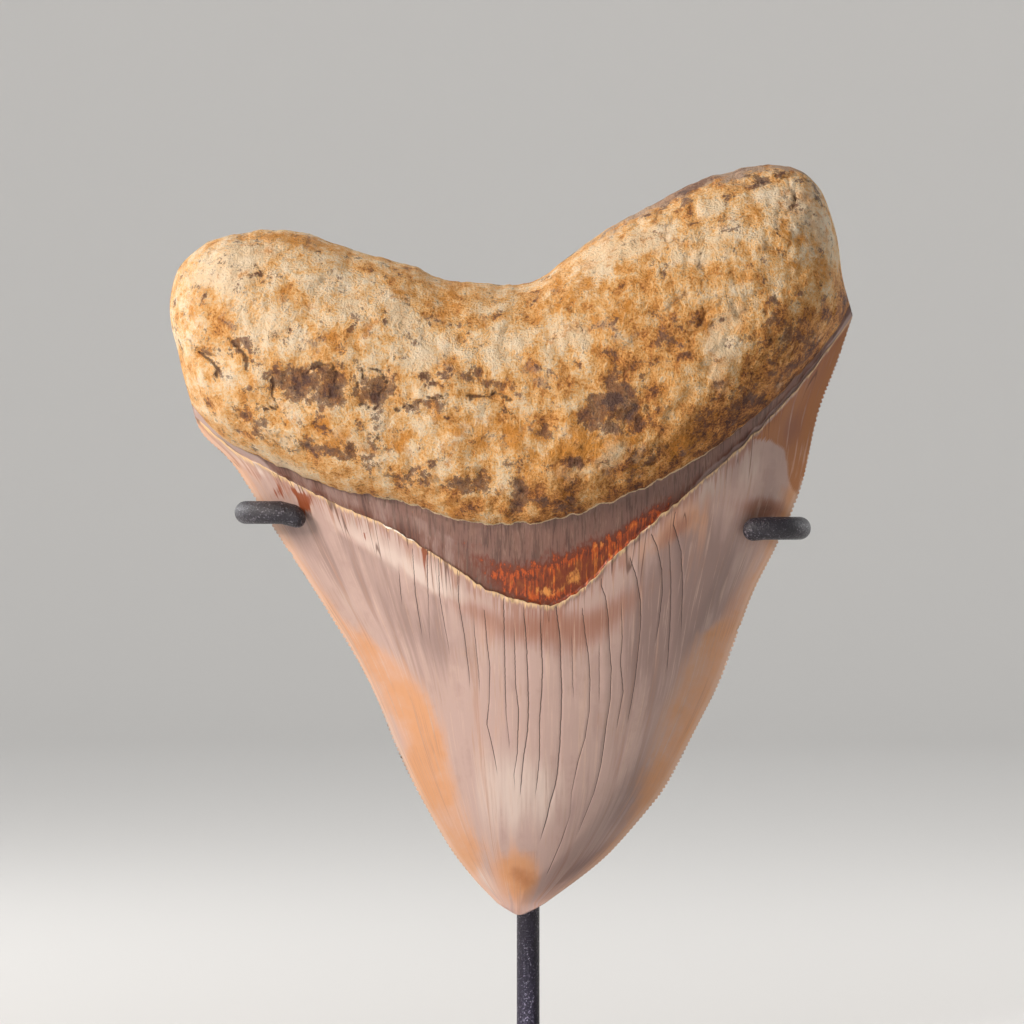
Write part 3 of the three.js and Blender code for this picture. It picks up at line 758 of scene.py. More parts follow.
ENAMEL_BROWN = [
    (4.4, 60.6, 15.0, 4.6, 3, 0.9), (-12.2, 64.6, 7.1, 2.6, -22, 0.6), (19.7, 65.9, 8.4, 3.2, 36, 0.6),
    (9.9, 56.1, 6.3, 2.5, 20, 0.3), (49.8, 85.5, 4.2, 2.1, 0, 1.1), (47.0, 80.7, 4.5, 5.6, -10, 0.45),
    (55.0, 101.8, 2.6, 4.5, -16, 0.9), (60.5, 112.8, 2.0, 8.5, -26, 0.6), (43.5, 66.1, 3.8, 8.4, -16, 0.35),
    (43.0, 86.5, 5.0, 3.0, 30, 0.25), (30.0, 82.0, 5.0, 4.0, 40, 0.45),
    (6.7, 16.2, 3.4, 2.5, 40, 0.3), (-5.9, 2.1, 4.2, 1.7, 30, 0.3), (30.5, 80.5, 7.0, 1.6, 42, 0.5),
    (38.5, 54.6, 3.8, 12.6, -24, 0.25), (45.0, 98.6, 5.0, 1.6, 45, 0.5),
]
ENAMEL_GREY = [
    (27.6, 60.8, 9.2, 20.9, -14, 0.75), (23.5, 24.1, 5.3, 10.2, -34, 0.8), (36.5, 71.0, 9.0, 13.0, -20, 0.7),
    (12.6, 10.3, 10.9, 1.7, 38, 0.9), (-26.9, 57.8, 11.6, 8.4, -20, 0.35), (-37.0, 83.0, 6.3, 2.1, -28, 0.4),
    (34.0, 74.5, 5.0, 8.4, -14, 0.4), (-20.6, 47.2, 6.3, 10.5, 10, 0.25),
    (-51.0, 83.0, 3.4, 2.5, 0, 0.5), (9.0, 22.0, 3.0, 9.0, -30, 0.3), (-44.0, 72.0, 6.0, 12.0, 30, 0.4),
]
# Pale stains; the first spot, low in the middle of the crown, is a painted highlight.
ENAMEL_PALE_AND_HIGHLIGHT = [
    (-1.7, 26.2, 10.8, 10.5, 0, 0.85), (-38.4, 66.1, 4.0, 6.6, 28, 0.4), (-24.8, 72.4, 10.5, 2.4, -28, 0.7),
    (-62.6, 99.8, 8.4, 1.7, -40, 0.7), (-16.4, 15.8, 2.0, 8.4, 34, 0.3), (-5.9, 55.6, 6.3, 3.4, 0, 0.3),
    (3.6, 52.5, 8.4, 2.5, 0, 0.25), (19.3, 11.0, 12.6, 1.0, 40, 0.5), (37.1, 89.1, 2.4, 5.5, -20, 0.5),
    (26.7, 77.7, 5.3, 1.6, 35, 0.35), (45.5, 93.0, 6.5, 4.5, 35, 0.55), (-9.0, 7.5, 1.4, 6.0, 39, 0.8),
    (11.5, 7.6, 9.5, 1.2, 39, 0.9),
]
TIP_TAN = [(-1.7, 8.0, 4.4, 4.0, 0, 0.62)]
UNSTAINED = [(-28.6, 37.8, 1.8, 8.0, 24, 0.9)]
SHOULDER_LINE = [(84, 58), (90.1, 54.7), (92.8, 54.0), (97.5, 53.2), (99.3, 50.5), (100.2, 44)]
ENAMEL_RUST = [
    (-46.6, 86.5, 1.5, 2.5, 0, 1.2), (-48.7, 88.8, 2.1, 0.6, -40, 0.8),
    (-52.5, 88.6, 1.7, 2.1, 0, 0.7), (-34.0, 79.8, 0.6, 2.1, 0, 0.8),
    (-21.6, 75.6, 0.6, 3.1, 0, 0.7), (-29.6, 81.3, 5.5, 0.6, -26, 0.5),
    (-20.6, 76.0, 4.2, 0.6, -26, 0.5), (23.5, 78.8, 5.5, 1.1, 40, 0.4),
]
BAND_ORANGE = [
    (5.7, 70.3, 8.0, 4.8, 0, 1.3), (13.4, 74.1, 6.5, 4.4, 30, 1.2), (21.4, 79.8, 5.2, 2.4, 38, 1.1),
    (26.7, 84.6, 4.6, 1.6, 38, 0.8), (-5.9, 72.0, 6.3, 2.5, -25, 0.7), (-1.7, 68.7, 5.0, 2.1, -14, 0.6),
    (-12.2, 77.1, 5.0, 1.3, -28, 0.25),
]
# Gold specks in the orange, painted highlights for the glassy orange's glints.
BAND_GOLD_GLINTS = [
    (9.2, 71.4, 1.7, 2.1, 0, 0.9), (4.2, 68.2, 2.9, 1.3, 0, 0.9), (15.1, 77.7, 1.3, 2.1, 20, 0.5),
    (17.6, 74.5, 1.7, 1.3, 40, 0.6),
]
# Painted highlights: white specks along the broken enamel edge.
PAINTED_GLINTS = [
    (-29.2, 81.5, 1.5, 0.5, -26, 1.1), (-25.6, 79.8, 1.5, 0.5, -26, 1),
    (-23.9, 79.0, 1.3, 0.5, -26, 1.1), (-19.1, 76.4, 1.5, 0.6, -26, 1.2),
    (-13.9, 72.0, 0.8, 0.4, -26, 0.5), (-27.3, 80.6, 0.6, 0.4, -26, 0.6),
    (-0.8, 66.4, 2.5, 0.4, -10, 0.4), (13.0, 69.3, 2.1, 0.4, 30, 0.4),
]

# %% How light or dark the root is
TONE_CLOUDS = {"size": 9.0, "layer": 51, "octaves": 4}


def on_front(table):
    """How much of a stain each place of the front has, from its table of soft spots."""
    return spots(front_x, front_z, table)


root_gap = gap_to(ROOT_ROW)
bone_tone_and_shade = (
    0.10 * on_front(ROOT_CREAM)
    - 0.05 * root_dark
    # The foot is darker, except at the far left: painted shade.
    - 0.09 * near(root_gap, 9) * smooth_step(front_x, -70, -10)
    # The right lobe is darker low down and paler high up: painted shade and light, over its browner colour.
    - 0.05 * smooth_step(front_x, 12, 58) * smooth_step(front_z, 150, 108)
    + 0.08 * smooth_step(front_x, 10, 50) * smooth_step(front_z, 110, 145)
    # The left half is paler, except at its end: painted light.
    + 0.04 * smooth_step(front_x, 10, -40)
    + 0.03 * smooth_step(front_x, 30, -10) * smooth_step(front_x, -75, -50)
    + 0.05 * noise_field(front_x, front_z, **TONE_CLOUDS)
)
print("The root's tone runs from", bone_tone_and_shade.min(), "to", bone_tone_and_shade.max())

# %% Zones of the crown
FAN_WIDTH = 60
PEACH_LEAST, PEACH_MOST_LEFT, PEACH_MOST_RIGHT = -1, 0.85, 0.75
SHOULDER_EDGE, SHOULDER_FOOT = (-0.7, 0.9), (84, 92)
LEFT_HALF_INNER, LEFT_HALF_OUTER = (-8, -16), (-56, -48)
PALE_ENDS, GREY_STARTS, GREY_ENDS = (9.0, 6.5), (7.5, 9.5), (30, 16)
RIGHT_RIDGE_REACH, RIGHT_RIDGE_STARTS = 1.3, (30, 40)
LEFT_RIDGE_REACH, LEFT_RIDGE_STARTS = 3.0, (-50, -58)
SHADE_SLOPE, SHADE_LOWEST, SHADE_LIMITS = 0.35, 12, (0.1, 1.3)
from_left, from_right = front_x - left_x(front_z), right_x(front_z) - front_x


def fanned(x, z):
    """A coordinate across the tooth whose lines stand upright in the middle and follow the edges beside."""
    _, aside = across_tooth(x, z)
    return x * (1 - aside**2) + FAN_WIDTH * aside**3


def edge_zone(distance, widths):
    """A stain that reaches inwards from a cutting edge by a width that depends on the height."""
    low, wide = np.array(widths).T
    return (np.interp(front_z, low, wide) - distance) / PEACH_SOFTNESS + 0.5


left_peach = np.clip(edge_zone(from_left, LEFT_PEACH), PEACH_LEAST, PEACH_MOST_LEFT)
right_peach = np.clip(edge_zone(from_right, RIGHT_PEACH), PEACH_LEAST, PEACH_MOST_RIGHT)
shoulder_side = np.interp(front_z, *np.array(SHOULDER_LINE).T)
shoulder = smooth_step(front_x - shoulder_side, *SHOULDER_EDGE) * smooth_step(front_z, *SHOULDER_FOOT)
left_half = smooth_step(front_x, *LEFT_HALF_INNER) * smooth_step(front_x, *LEFT_HALF_OUTER)
pale_zone = smooth_step(border_gap, *PALE_ENDS) * left_half
grey_zone = smooth_step(border_gap, *GREY_STARTS) * smooth_step(border_gap, *GREY_ENDS) * left_half
right_ridge = near(border_gap, RIGHT_RIDGE_REACH) * smooth_step(front_x, *RIGHT_RIDGE_STARTS)
left_ridge = near(border_gap, LEFT_RIDGE_REACH) * smooth_step(front_x, *LEFT_RIDGE_STARTS)
# Painted shade: this greys the crown more and more towards its right side.
right_shade = smooth_step(front_x / (SHADE_SLOPE * np.maximum(front_z, SHADE_LOWEST)), *SHADE_LIMITS)
print("The tan shoulder covers", int((shoulder * in_crown > 0.5).sum()), "vertices")

# %% The numbers of the front
EDGE_HIGHLIGHT_REACH, PAINTED_GLINT_REACH, LIP_REACH = 1.1, 1.0, 0.25
LIP_CENTRE, LIP_ENDS = 6, (52, 26)
SKIN_STARTS, SKIN_LEAST, SKIN_GROWS = (0.9, 1.0), 0.25, (5, 30)
SHADE_GREY, ZONE_GREY, RIDGE_GREY = 0.17, 0.5, 0.7
ZONE_PALE, RIDGE_PALE = 0.5, 1.3
CRACK_FULL = 0.13

lip_middle = smooth_step(np.abs(front_x - LIP_CENTRE), *LIP_ENDS)
skin_right = SKIN_LEAST + (1 - SKIN_LEAST) * smooth_step(front_x, *SKIN_GROWS)
# The grey number holds painted shade over the right side as well as the grey stains.
grey_zones = SHADE_GREY * right_shade, ZONE_GREY * grey_zone, RIDGE_GREY * right_ridge
peach = np.maximum(np.maximum(left_peach, right_peach), on_front(ENAMEL_PEACH))
front_paint = {
    # A paler rim along the cutting edges: a painted highlight.
    "edge": near(np.minimum(from_left, from_right), EDGE_HIGHLIGHT_REACH),
    "skin": smooth_step(up, *SKIN_STARTS) * skin_right * in_root,
    "tone": np.where(in_root, bone_tone_and_shade, 0),
    "lip": near(root_gap, LIP_REACH) * lip_middle,
    "peach": peach - on_front(UNSTAINED),
    "brown": on_front(ENAMEL_BROWN),
    "tan": shoulder * in_crown * (1 - right_ridge) + on_front(TIP_TAN),
    "grey": sum(grey_zones, on_front(ENAMEL_GREY)),
    # Pale stains and ridges, and a painted highlight low in the crown's middle.
    "pale": on_front(ENAMEL_PALE_AND_HIGHLIGHT) + ZONE_PALE * pale_zone + RIDGE_PALE * (right_ridge + left_ridge),
    "rust": np.where(in_root, on_front(ROOT_RUST), on_front(ENAMEL_RUST)),
    "dark": root_dark,
    "cream": on_front(ROOT_CREAM),
    "pit": np.where(in_root, root_pit, 0),
    "rift": np.where(in_root, root_crack, 0),
    "orange": on_front(BAND_ORANGE),
    # Gold specks: painted highlights.
    "gold": on_front(BAND_GOLD_GLINTS),
    # Painted highlights on the broken edge.
    "painted_glint": on_front(PAINTED_GLINTS) * near(border_gap, PAINTED_GLINT_REACH),
    "crack": np.clip(groove / CRACK_FULL, 0, 1),
    "gap": border_gap,
    "rise": np.where(in_band, up, np.where(in_root, 1 + up, 0)),
    "fan": fanned(front_x, front_z),
}
print("Each vertex of the front carries", len(front_paint), "numbers")

# %% The same numbers for the back
BACK_STAINS = {
    "tone": {"base": 0.02, "weight": 0.07, "size": 9.0, "layer": 52, "octaves": 3},
    "peach": {"base": 0.25, "weight": 0.5, "size": 30, "layer": 41, "octaves": 2},
    "grey": {"base": 0.3, "weight": 0.5, "size": 26, "layer": 42, "octaves": 2},
    "pale": {"base": 0.2, "weight": 0.4, "size": 18, "layer": 43, "octaves": 2},
    "rust": {"base": 0.2, "weight": 0.6, "size": 14, "layer": 44, "octaves": 2},
    "cream": {"base": 0.3, "weight": 0.6, "size": 13, "layer": 45, "octaves": 2},
}
BACK_SKIN, BACK_BROWN, BACK_BROWN_REACH = 0.5, 0.9, 7

back_from_edge = np.minimum(back_x - left_x(back_z), right_x(back_z) - back_x)
back_paint = {name: np.zeros_like(back_x) for name in front_paint}
back_paint.update({name: on_back(**stain) for name, stain in BACK_STAINS.items()})
back_paint.update({
    # The same painted highlight along the back's cutting edges.
    "edge": near(back_from_edge, EDGE_HIGHLIGHT_REACH),
    "skin": BACK_SKIN * smooth_step(back_up, *SKIN_STARTS) * back_in_root,
    "brown": BACK_BROWN * near(back_gap, BACK_BROWN_REACH) * ~back_in_root,
    "dark": back_dark,
    "pit": np.where(back_in_root, back_pit, 0),
    "gap": back_gap,
    "rise": np.where(back_in_root, 1 + back_up, 0),
    "fan": fanned(back_x, back_z),
})
print(sum(not paint.any() for paint in back_paint.values()), "of the numbers are 0 all over the back")

# %% [markdown]
# ## One closed tooth
#
# Each sheet starts as a flat grid whose vertices are moved to their places. A grid is the right start
# because every vertex of it is wanted in a known row and column. The cutting edges need more: the real
# ones are saws with a tooth every millimetre. So the rim's edges are cut into short pieces, both sheets'
# rims are moved to the same serrated line, and merging the doubles sews them together.

# %% Two sheets in one mesh
def add_sheet(bm, layers, x, y, z, paint):
    """Adds a grid whose vertices go to the places and carry the numbers; gives them by row and column."""
    rows, columns = x.shape[0] - 1, x.shape[1] - 1
    made = bmesh.ops.create_grid(bm, x_segments=columns, y_segments=rows, size=1.0)["verts"]
    places = np.stack([x * MM, y * MM, (z + TIP_HEIGHT) * MM], axis=-1).tolist()
    numbers = np.stack([paint[name] for name in layers], axis=-1).tolist()
    grid = [[None] * (columns + 1) for _ in range(rows + 1)]
    for vert in made:
        column, row = round((vert.co.x + 1) / 2 * columns), round((vert.co.y + 1) / 2 * rows)
        grid[row][column] = vert
        vert.co = places[row][column]
        for layer, number in zip(layers.values(), numbers[row][column]):
            vert[layer] = number
    return grid


tooth_bm = bmesh.new()
layers = {name: tooth_bm.verts.layers.float.new(name) for name in front_paint}
front = add_sheet(tooth_bm, layers, front_x, front_y, front_z, front_paint)
front_faces = set(tooth_bm.faces)
back = add_sheet(tooth_bm, layers, back_x, back_y, back_z, back_paint)
bmesh.ops.reverse_faces(tooth_bm, faces=[face for face in tooth_bm.faces if face not in front_faces])
print("The two sheets have", len(tooth_bm.verts), "vertices")

# %% Rims cut fine enough for serrations
FRONT_CUTS = 5


def rim_of(grid, cells, cuts):
    """Cuts each edge between neighbouring cells of a grid into equal parts and gives all their vertices."""
    line = [grid[row][column] for row, column in cells]
    added = []
    for vert, last in zip(line, line[1:]):
        for parts in range(cuts + 1, 1, -1):
            long_edge = tooth_bm.edges.get((vert, last))
            _, vert = bmesh.utils.edge_split(long_edge, vert, 1 / parts)
            added.append(vert)
    return line + added


def both_rims(front_cells, back_cells, front_cuts):
    """The front's and the back's rim with the same number of vertices; the back has half the cells."""
    return rim_of(front, front_cells, front_cuts), rim_of(back, back_cells, 2 * front_cuts + 1)


def upright(column, first, last):
    """The cells of one column from the first row to the last."""
    return [(row, column) for row in range(first, last + 1)]


def level(row, last):
    """The cells of one row up to the last column."""
    return [(row, column) for column in range(last + 1)]


BACK_BORDER_ROW, BACK_TOP_ROW, BACK_COLUMNS = len(back_crown_up) - 1, len(back_up) - 1, COLUMNS // 2
rims = []
for front_column, back_column in ((0, 0), (COLUMNS, BACK_COLUMNS)):
    cutting = both_rims(
        upright(front_column, 0, ROOT_ROW), upright(back_column, 0, BACK_BORDER_ROW), FRONT_CUTS
    )
    blunt = both_rims(
        upright(front_column, ROOT_ROW, ROWS), upright(back_column, BACK_BORDER_ROW, BACK_TOP_ROW), 0
    )
    rims.append(("cutting", 2, cutting))
    rims.append(("blunt", 2, blunt))
rims.append(("tip", 0, both_rims(level(0, COLUMNS), level(0, BACK_COLUMNS), 0)))
rims.append(("blunt", 0, both_rims(level(ROWS, COLUMNS), level(BACK_TOP_ROW, BACK_COLUMNS), 0)))
print("The cutting edges have", len(rims[0][2][0]), "vertices each")

# %% Serrations and nicks
SERRATION_PITCH, SERRATION_SIZE, SERRATION_POWER = 0.95, 0.42, 0.9
PITCH_WAVES = [(0.35, 7.3), (0.2, 2.9)]
SIZE_WAVE, SIZE_WAVE_LENGTH = 0.25, 4.7
SERRATION_STARTS, SERRATION_END = (4, 18), 9
NICK_WIDTH, NICK_DEPTH = 0.45, 0.5
NICKS = [(-41.6, 64.9), (-49.4, 76.0), (-53.1, 82.5), (55.0, 86.5), (50.8, 73.9), (-33.5, 48.5), (44.0, 60.0)]


def serrated(rim):
    """The places of a cutting edge, pushed out into small teeth and in at the nicks, from the tip up."""
    line = np.array([(vert.co.x / MM, vert.co.z / MM - TIP_HEIGHT) for vert in rim])
    line = line[line[:, 1].argsort()]
    along = np.concatenate([[0], np.cumsum(np.hypot(*np.diff(line, axis=0).T))])
    run = np.gradient(line, axis=0)
    outward = np.stack([run[:, 1], -run[:, 0]], axis=-1) / np.hypot(*run.T)[:, None]
    outward *= np.sign(line[-1, 0])
    turns = along / SERRATION_PITCH
    for amount, length in PITCH_WAVES:
        turns = turns + amount * np.sin(along / length)
    teeth = SERRATION_SIZE * np.abs(np.sin(np.pi * turns)) ** SERRATION_POWER
    teeth *= 1 - SIZE_WAVE + SIZE_WAVE * np.sin(along / SIZE_WAVE_LENGTH)
    height, top = line[:, 1], line[-1, 1]
    teeth *= smooth_step(height, *SERRATION_STARTS) * smooth_step(height, top, top - SERRATION_END)
    for nick_x, nick_z in NICKS:
        teeth -= NICK_DEPTH * near(np.hypot(line[:, 0] - nick_x, height - nick_z), NICK_WIDTH)
    return line + outward * teeth[:, None]


for kind, axis, (front_rim, back_rim) in rims:
    front_rim.sort(key=lambda vert: vert.co[axis])
    back_rim.sort(key=lambda vert: vert.co[axis])
    if kind == "cutting":
        for vert, (x, z) in zip(front_rim, serrated(front_rim).tolist()):
            vert.co = (x * MM, edge_y(z) * MM, (z + TIP_HEIGHT) * MM)
    for vert, partner in zip(back_rim, front_rim):
        vert.co = partner.co

rim_verts = {vert for _, _, pair in rims for rim in pair for vert in rim}
blade_verts = {vert for kind, _, pair in rims if kind != "blunt" for rim in pair for vert in rim}
bmesh.ops.remove_doubles(tooth_bm, verts=list(rim_verts), dist=0.0001 * MM)
blade_verts = {vert for vert in blade_verts if vert.is_valid}
open_edges = [each for each in tooth_bm.edges if len(each.link_faces) != 2]
print("After sewing,", len(open_edges), "edges are open")

# %% Materials and shading of the faces
BAND_TOP = 1.0001
for face in tooth_bm.faces:
    # The rise is 0 on the crown, runs to 1 over the band, and is more on the root.
    top = max(vert[layers["rise"]] for vert in face.verts)
    face.material_index = 2 if top > BAND_TOP else int(top > 0)
    face.smooth = True
for each in tooth_bm.edges:
    if each.verts[0] in blade_verts and each.verts[1] in blade_verts:
        each.smooth = False


def finish_piece(bm, name, node_name, materials):
    """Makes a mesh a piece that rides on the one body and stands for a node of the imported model."""
    mesh = bpy.data.meshes.new(name)
    bm.to_mesh(mesh)
    bm.free()
    piece = bpy.data.objects.new(name, mesh)
    bpy.context.scene.collection.objects.link(piece)
    for material in materials:
        mesh.materials.append(material)
    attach(piece, "root")
    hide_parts(node_name)
    print(name, "has", sum(len(face.vertices) - 2 for face in mesh.polygons), "triangles")


# %% [markdown]
# ## Tools for the finishes
#
# A finish is a tree of nodes. One small function adds a node, sets its options and joins its sockets, so
# that each material below reads as a list of what it is made of. Colours are written as the sRGB hex
# values that a paint chart or a colour picker gives, and turned to the linear values that light needs.

# %% Colours and nodes
def linear(hex_colour):
    """Turns an sRGB hex colour into linear red, green, blue and alpha."""
    channels = [int(hex_colour[k : k + 2], 16) / 255 for k in (1, 3, 5)]
    return [c / 12.92 if c <= 0.04045 else ((c + 0.055) / 1.055) ** 2.4 for c in channels] + [1.0]


def add(tree, kind, sockets=None, **settings):
    """Adds a node; sockets holds a value, a hex colour or another node's output for each input."""
    made = tree.nodes.new(kind)
    for name, value in settings.items():
        setattr(made, name, value)
    for key, value in (sockets or {}).items():
        if isinstance(value, bpy.types.NodeSocket):
            tree.links.new(value, made.inputs[key])
        else:
            made.inputs[key].default_value = linear(value) if isinstance(value, str) else value
    return made


def new_material(name):
    """An empty material and its tree of nodes."""
    material = bpy.data.materials.new(name)
    material.use_nodes = True
    material.node_tree.nodes.clear()
    return material, material.node_tree


def end_tree(tree, sockets):
    """Ends a material's tree with the shader, which the sockets set, and the output."""
    shader = add(tree, "ShaderNodeBsdfPrincipled", sockets)
    add(tree, "ShaderNodeOutputMaterial", {"Surface": shader.outputs[0]})


def per_metre(millimetres):
    """The scale of a pattern on metres whose features are that many millimetres apart."""
    return 1 / (millimetres * MM)


def paint_over(tree, colour, stains):
    """Lays stains over a colour: where each one is, what frays it and how much, its limits and colour.

    Where a stain is comes from a node's output, or from the vertex attribute that a name stands for. The
    stain starts where that number passes the low limit and is full at the high one. The fraying noise is
    0.5 on average, so half its amount is added to both limits.
    """
    for where, fray, amount, low, high, cover, stain in stains:
        if isinstance(where, str):
            where = add(tree, "ShaderNodeAttribute", attribute_name=where).outputs["Fac"]
        frayed = add(tree, "ShaderNodeMath", {0: fray, 1: amount, 2: where}, operation="MULTIPLY_ADD")
        limits = {"From Min": low + amount / 2, "From Max": high + amount / 2, "To Max": cover}
        limits["Value"] = frayed.outputs[0]
        mask = add(tree, "ShaderNodeMapRange", limits, interpolation_type="SMOOTHSTEP")
        mixed = add(tree, "ShaderNodeMix", {0: mask.outputs[0], 6: colour, 7: stain}, data_type="RGBA")
        colour = mixed.outputs[2]
    return colour


# %% Streaks that run along the tooth
STREAK_SLICE = 3.7


def streaks(tree, across_mm, along_mm, detail):
    """Noise that is narrow across the crystals' lines and long along them."""
    height = add(tree, "ShaderNodeSeparateXYZ", {0: add(tree, "ShaderNodeTexCoord").outputs["Object"]})
    along = {0: height.outputs["Z"], 1: per_metre(along_mm)}
    along = add(tree, "ShaderNodeMath", along, operation="MULTIPLY").outputs[0]
    fan = add(tree, "ShaderNodeAttribute", attribute_name="fan").outputs["Fac"]
    wide = add(tree, "ShaderNodeMath", {0: fan, 1: 1 / across_mm}, operation="MULTIPLY").outputs[0]
    vector = add(tree, "ShaderNodeCombineXYZ", {"X": wide, "Y": STREAK_SLICE, "Z": along}).outputs[0]
    settings = {"Vector": vector, "Scale": 1.0, "Detail": detail, "Roughness": 0.6}
    return add(tree, "ShaderNodeTexNoise", settings).outputs["Fac"]


# %% [markdown]
# ## Mineralised root bone
#
# Iron-rich water turned the porous root to stone. It stained the bone ochre and gold, left cream lime on
# the high spots and dark manganese in the pits. The colour changes at every scale from a centimetre down
# to grains of half a millimetre, drawn a little coarser than the real ones so that they show. The surface
# is dull and rough. Each noise below has the size of its features in millimetres, its detail, its
# roughness and a shift in metres that makes it a pattern of its own.

# %% The root's material
BONE_TONES = [
    (0.24, "#4A2E26"), (0.34, "#83502D"), (0.42, "#C4803F"), (0.49, "#E8A85C"), (0.56, "#F3C488"),
    (0.64, "#F9DBB2"), (0.76, "#FDEBD0"),
]
BONE_NOISES = {
    "grain": (0.5, 3.0, 0.7, 0.0), "mottle": (4.4, 8.0, 0.66, 0.1), "clouds": (11.0, 7.0, 0.6, 0.2),
    "stains": (3.6, 8.0, 0.74, 0.3), "rusty": (4.4, 8.0, 0.7, 0.4),
}
BONE_STREAKS = {"across_mm": 0.8, "along_mm": 3.5, "detail": 5.0}
TONE_WEIGHTS = {"mottle": 0.75, "grain": 0.5, "clouds": 0.3, "strokes": 0.2}
MEAN_TONE = 0.51
MOTTLE_RELIEF, BONE_RELIEF = 1.2, 0.85

root_bone, tree = new_material("mineralised_root_bone")
place = add(tree, "ShaderNodeTexCoord").outputs["Object"]
noises = {}
for name, (size, detail, roughness, shift) in BONE_NOISES.items():
    moved = add(tree, "ShaderNodeMapping", {"Vector": place, "Location": (shift, shift, shift)}).outputs[0]
    scale = {"Vector": moved, "Scale": per_metre(size), "Detail": detail, "Roughness": roughness}
    noises[name] = add(tree, "ShaderNodeTexNoise", scale).outputs["Fac"]
noises["strokes"] = streaks(tree, **BONE_STREAKS)
# The tone number brings in the root's painted shade and painted light with its own tone.
tone = add(tree, "ShaderNodeAttribute", attribute_name="tone").outputs["Fac"]
for name, weight in TONE_WEIGHTS.items():
    terms = {0: noises[name], 1: weight, 2: tone}
    tone = add(tree, "ShaderNodeMath", terms, operation="MULTIPLY_ADD").outputs[0]
excess = sum(TONE_WEIGHTS.values()) / 2 - MEAN_TONE
tone = add(tree, "ShaderNodeMath", {0: tone, 1: excess}, operation="SUBTRACT").outputs[0]
ramp = add(tree, "ShaderNodeValToRGB", {"Fac": tone})
for step, colour in BONE_TONES:
    ramp.color_ramp.elements.new(step).color = linear(colour)
ramp.color_ramp.elements[0].color = linear(BONE_TONES[0][1])
ramp.color_ramp.elements[-1].color = linear(BONE_TONES[-1][1])
bone = paint_over(tree, ramp.outputs["Color"], [
    ("rust", noises["rusty"], 3.4, 0.3, 0.8, 0.75, "#DB9238"),
    ("cream", noises["clouds"], 3.4, 0.35, 0.85, 0.6, "#F7DDB8"),
    (noises["rusty"], noises["grain"], 0.4, 0.57, 0.66, 0.6, "#D18732"),
    (noises["stains"], noises["clouds"], -0.9, 0.62, 0.76, 0.55, "#AE9585"),
    (noises["grain"], noises["stains"], 0.5, 0.58, 0.67, 0.5, "#80593F"),
    ("skin", noises["mottle"], 2.6, 0.45, 0.8, 0.7, "#A08478"),
    ("pit", noises["grain"], 1.2, 0.35, 1.0, 0.5, "#7C4C2A"),
    ("dark", noises["stains"], 4.6, 0.4, 0.62, 0.75, "#74503F"),
    ("dark", noises["stains"], 4.6, 0.85, 1.15, 0.8, "#57423F"),
    (noises["mottle"], noises["stains"], -1.0, 0.34, 0.27, 0.7, "#6B4634"),
    ("rift", noises["grain"], 1.0, 0.35, 0.8, 0.85, "#4A2D22"),
    ("lip", noises["mottle"], 2.4, 0.5, 0.9, 0.85, "#F2DDB8"),
])
terms = {0: noises["mottle"], 1: MOTTLE_RELIEF, 2: noises["grain"]}
relief = add(tree, "ShaderNodeMath", terms, operation="MULTIPLY_ADD").outputs[0]
bump = add(tree, "ShaderNodeBump", {"Height": relief, "Strength": 1.0, "Distance": BONE_RELIEF * MM})
end_tree(tree, {
    "Base Color": bone, "Roughness": 0.72, "Specular IOR Level": 0.4, "Normal": bump.outputs[0],
})
print(root_bone.name, "has", len(tree.nodes), "nodes")

# %% [markdown]
# ## Polished enamel
#
# Enamel is the hardest part of a tooth and survives almost as it was: a thin glossy glaze. Its crystals
# stand in bundles that fan out from the point, so every stain runs in fine streaks along the same lines as
# the cracks. Water crept in from the edges and left peach and tan there, and mauve grey in the middle.
# Real bundles are far too thin to show in the render, so the streaks stand for groups of them. Brown
# hairlines, drawn where a noise passes its middle value, fade out below the broken edge.

# %% The crown's material
ENAMEL_FINE = {"across_mm": 0.55, "along_mm": 16.0, "detail": 3.0}
ENAMEL_BROAD = {"across_mm": 3.2, "along_mm": 34.0, "detail": 5.0}
HAIRLINES = {"across_mm": 2.6, "along_mm": 60.0, "detail": 1.0}
HAIR_SHARPNESS, HAIR_FADE = 40.0, 0.06
CLOUD_SIZE, ENAMEL_RELIEF = 9.0, 0.06

enamel, tree = new_material("polished_enamel")
place = add(tree, "ShaderNodeTexCoord").outputs["Object"]
fine, broad = streaks(tree, **ENAMEL_FINE), streaks(tree, **ENAMEL_BROAD)
cloud_scale = {"Vector": place, "Scale": per_metre(CLOUD_SIZE), "Detail": 6.0, "Roughness": 0.62}
cloud = add(tree, "ShaderNodeTexNoise", cloud_scale).outputs["Fac"]
gap = add(tree, "ShaderNodeAttribute", attribute_name="gap").outputs["Fac"]
inwards = add(tree, "ShaderNodeMath", {0: gap, 1: -1.0}, operation="MULTIPLY").outputs[0]
hair = streaks(tree, **HAIRLINES)
hair = add(tree, "ShaderNodeMath", {0: hair, 1: 0.5}, operation="SUBTRACT").outputs[0]
hair = add(tree, "ShaderNodeMath", {0: hair}, operation="ABSOLUTE").outputs[0]
hair = add(tree, "ShaderNodeMath", {0: hair, 1: -HAIR_SHARPNESS}, operation="MULTIPLY").outputs[0]
terms = {0: inwards, 1: HAIR_FADE, 2: hair}
hair = add(tree, "ShaderNodeMath", terms, operation="MULTIPLY_ADD").outputs[0]
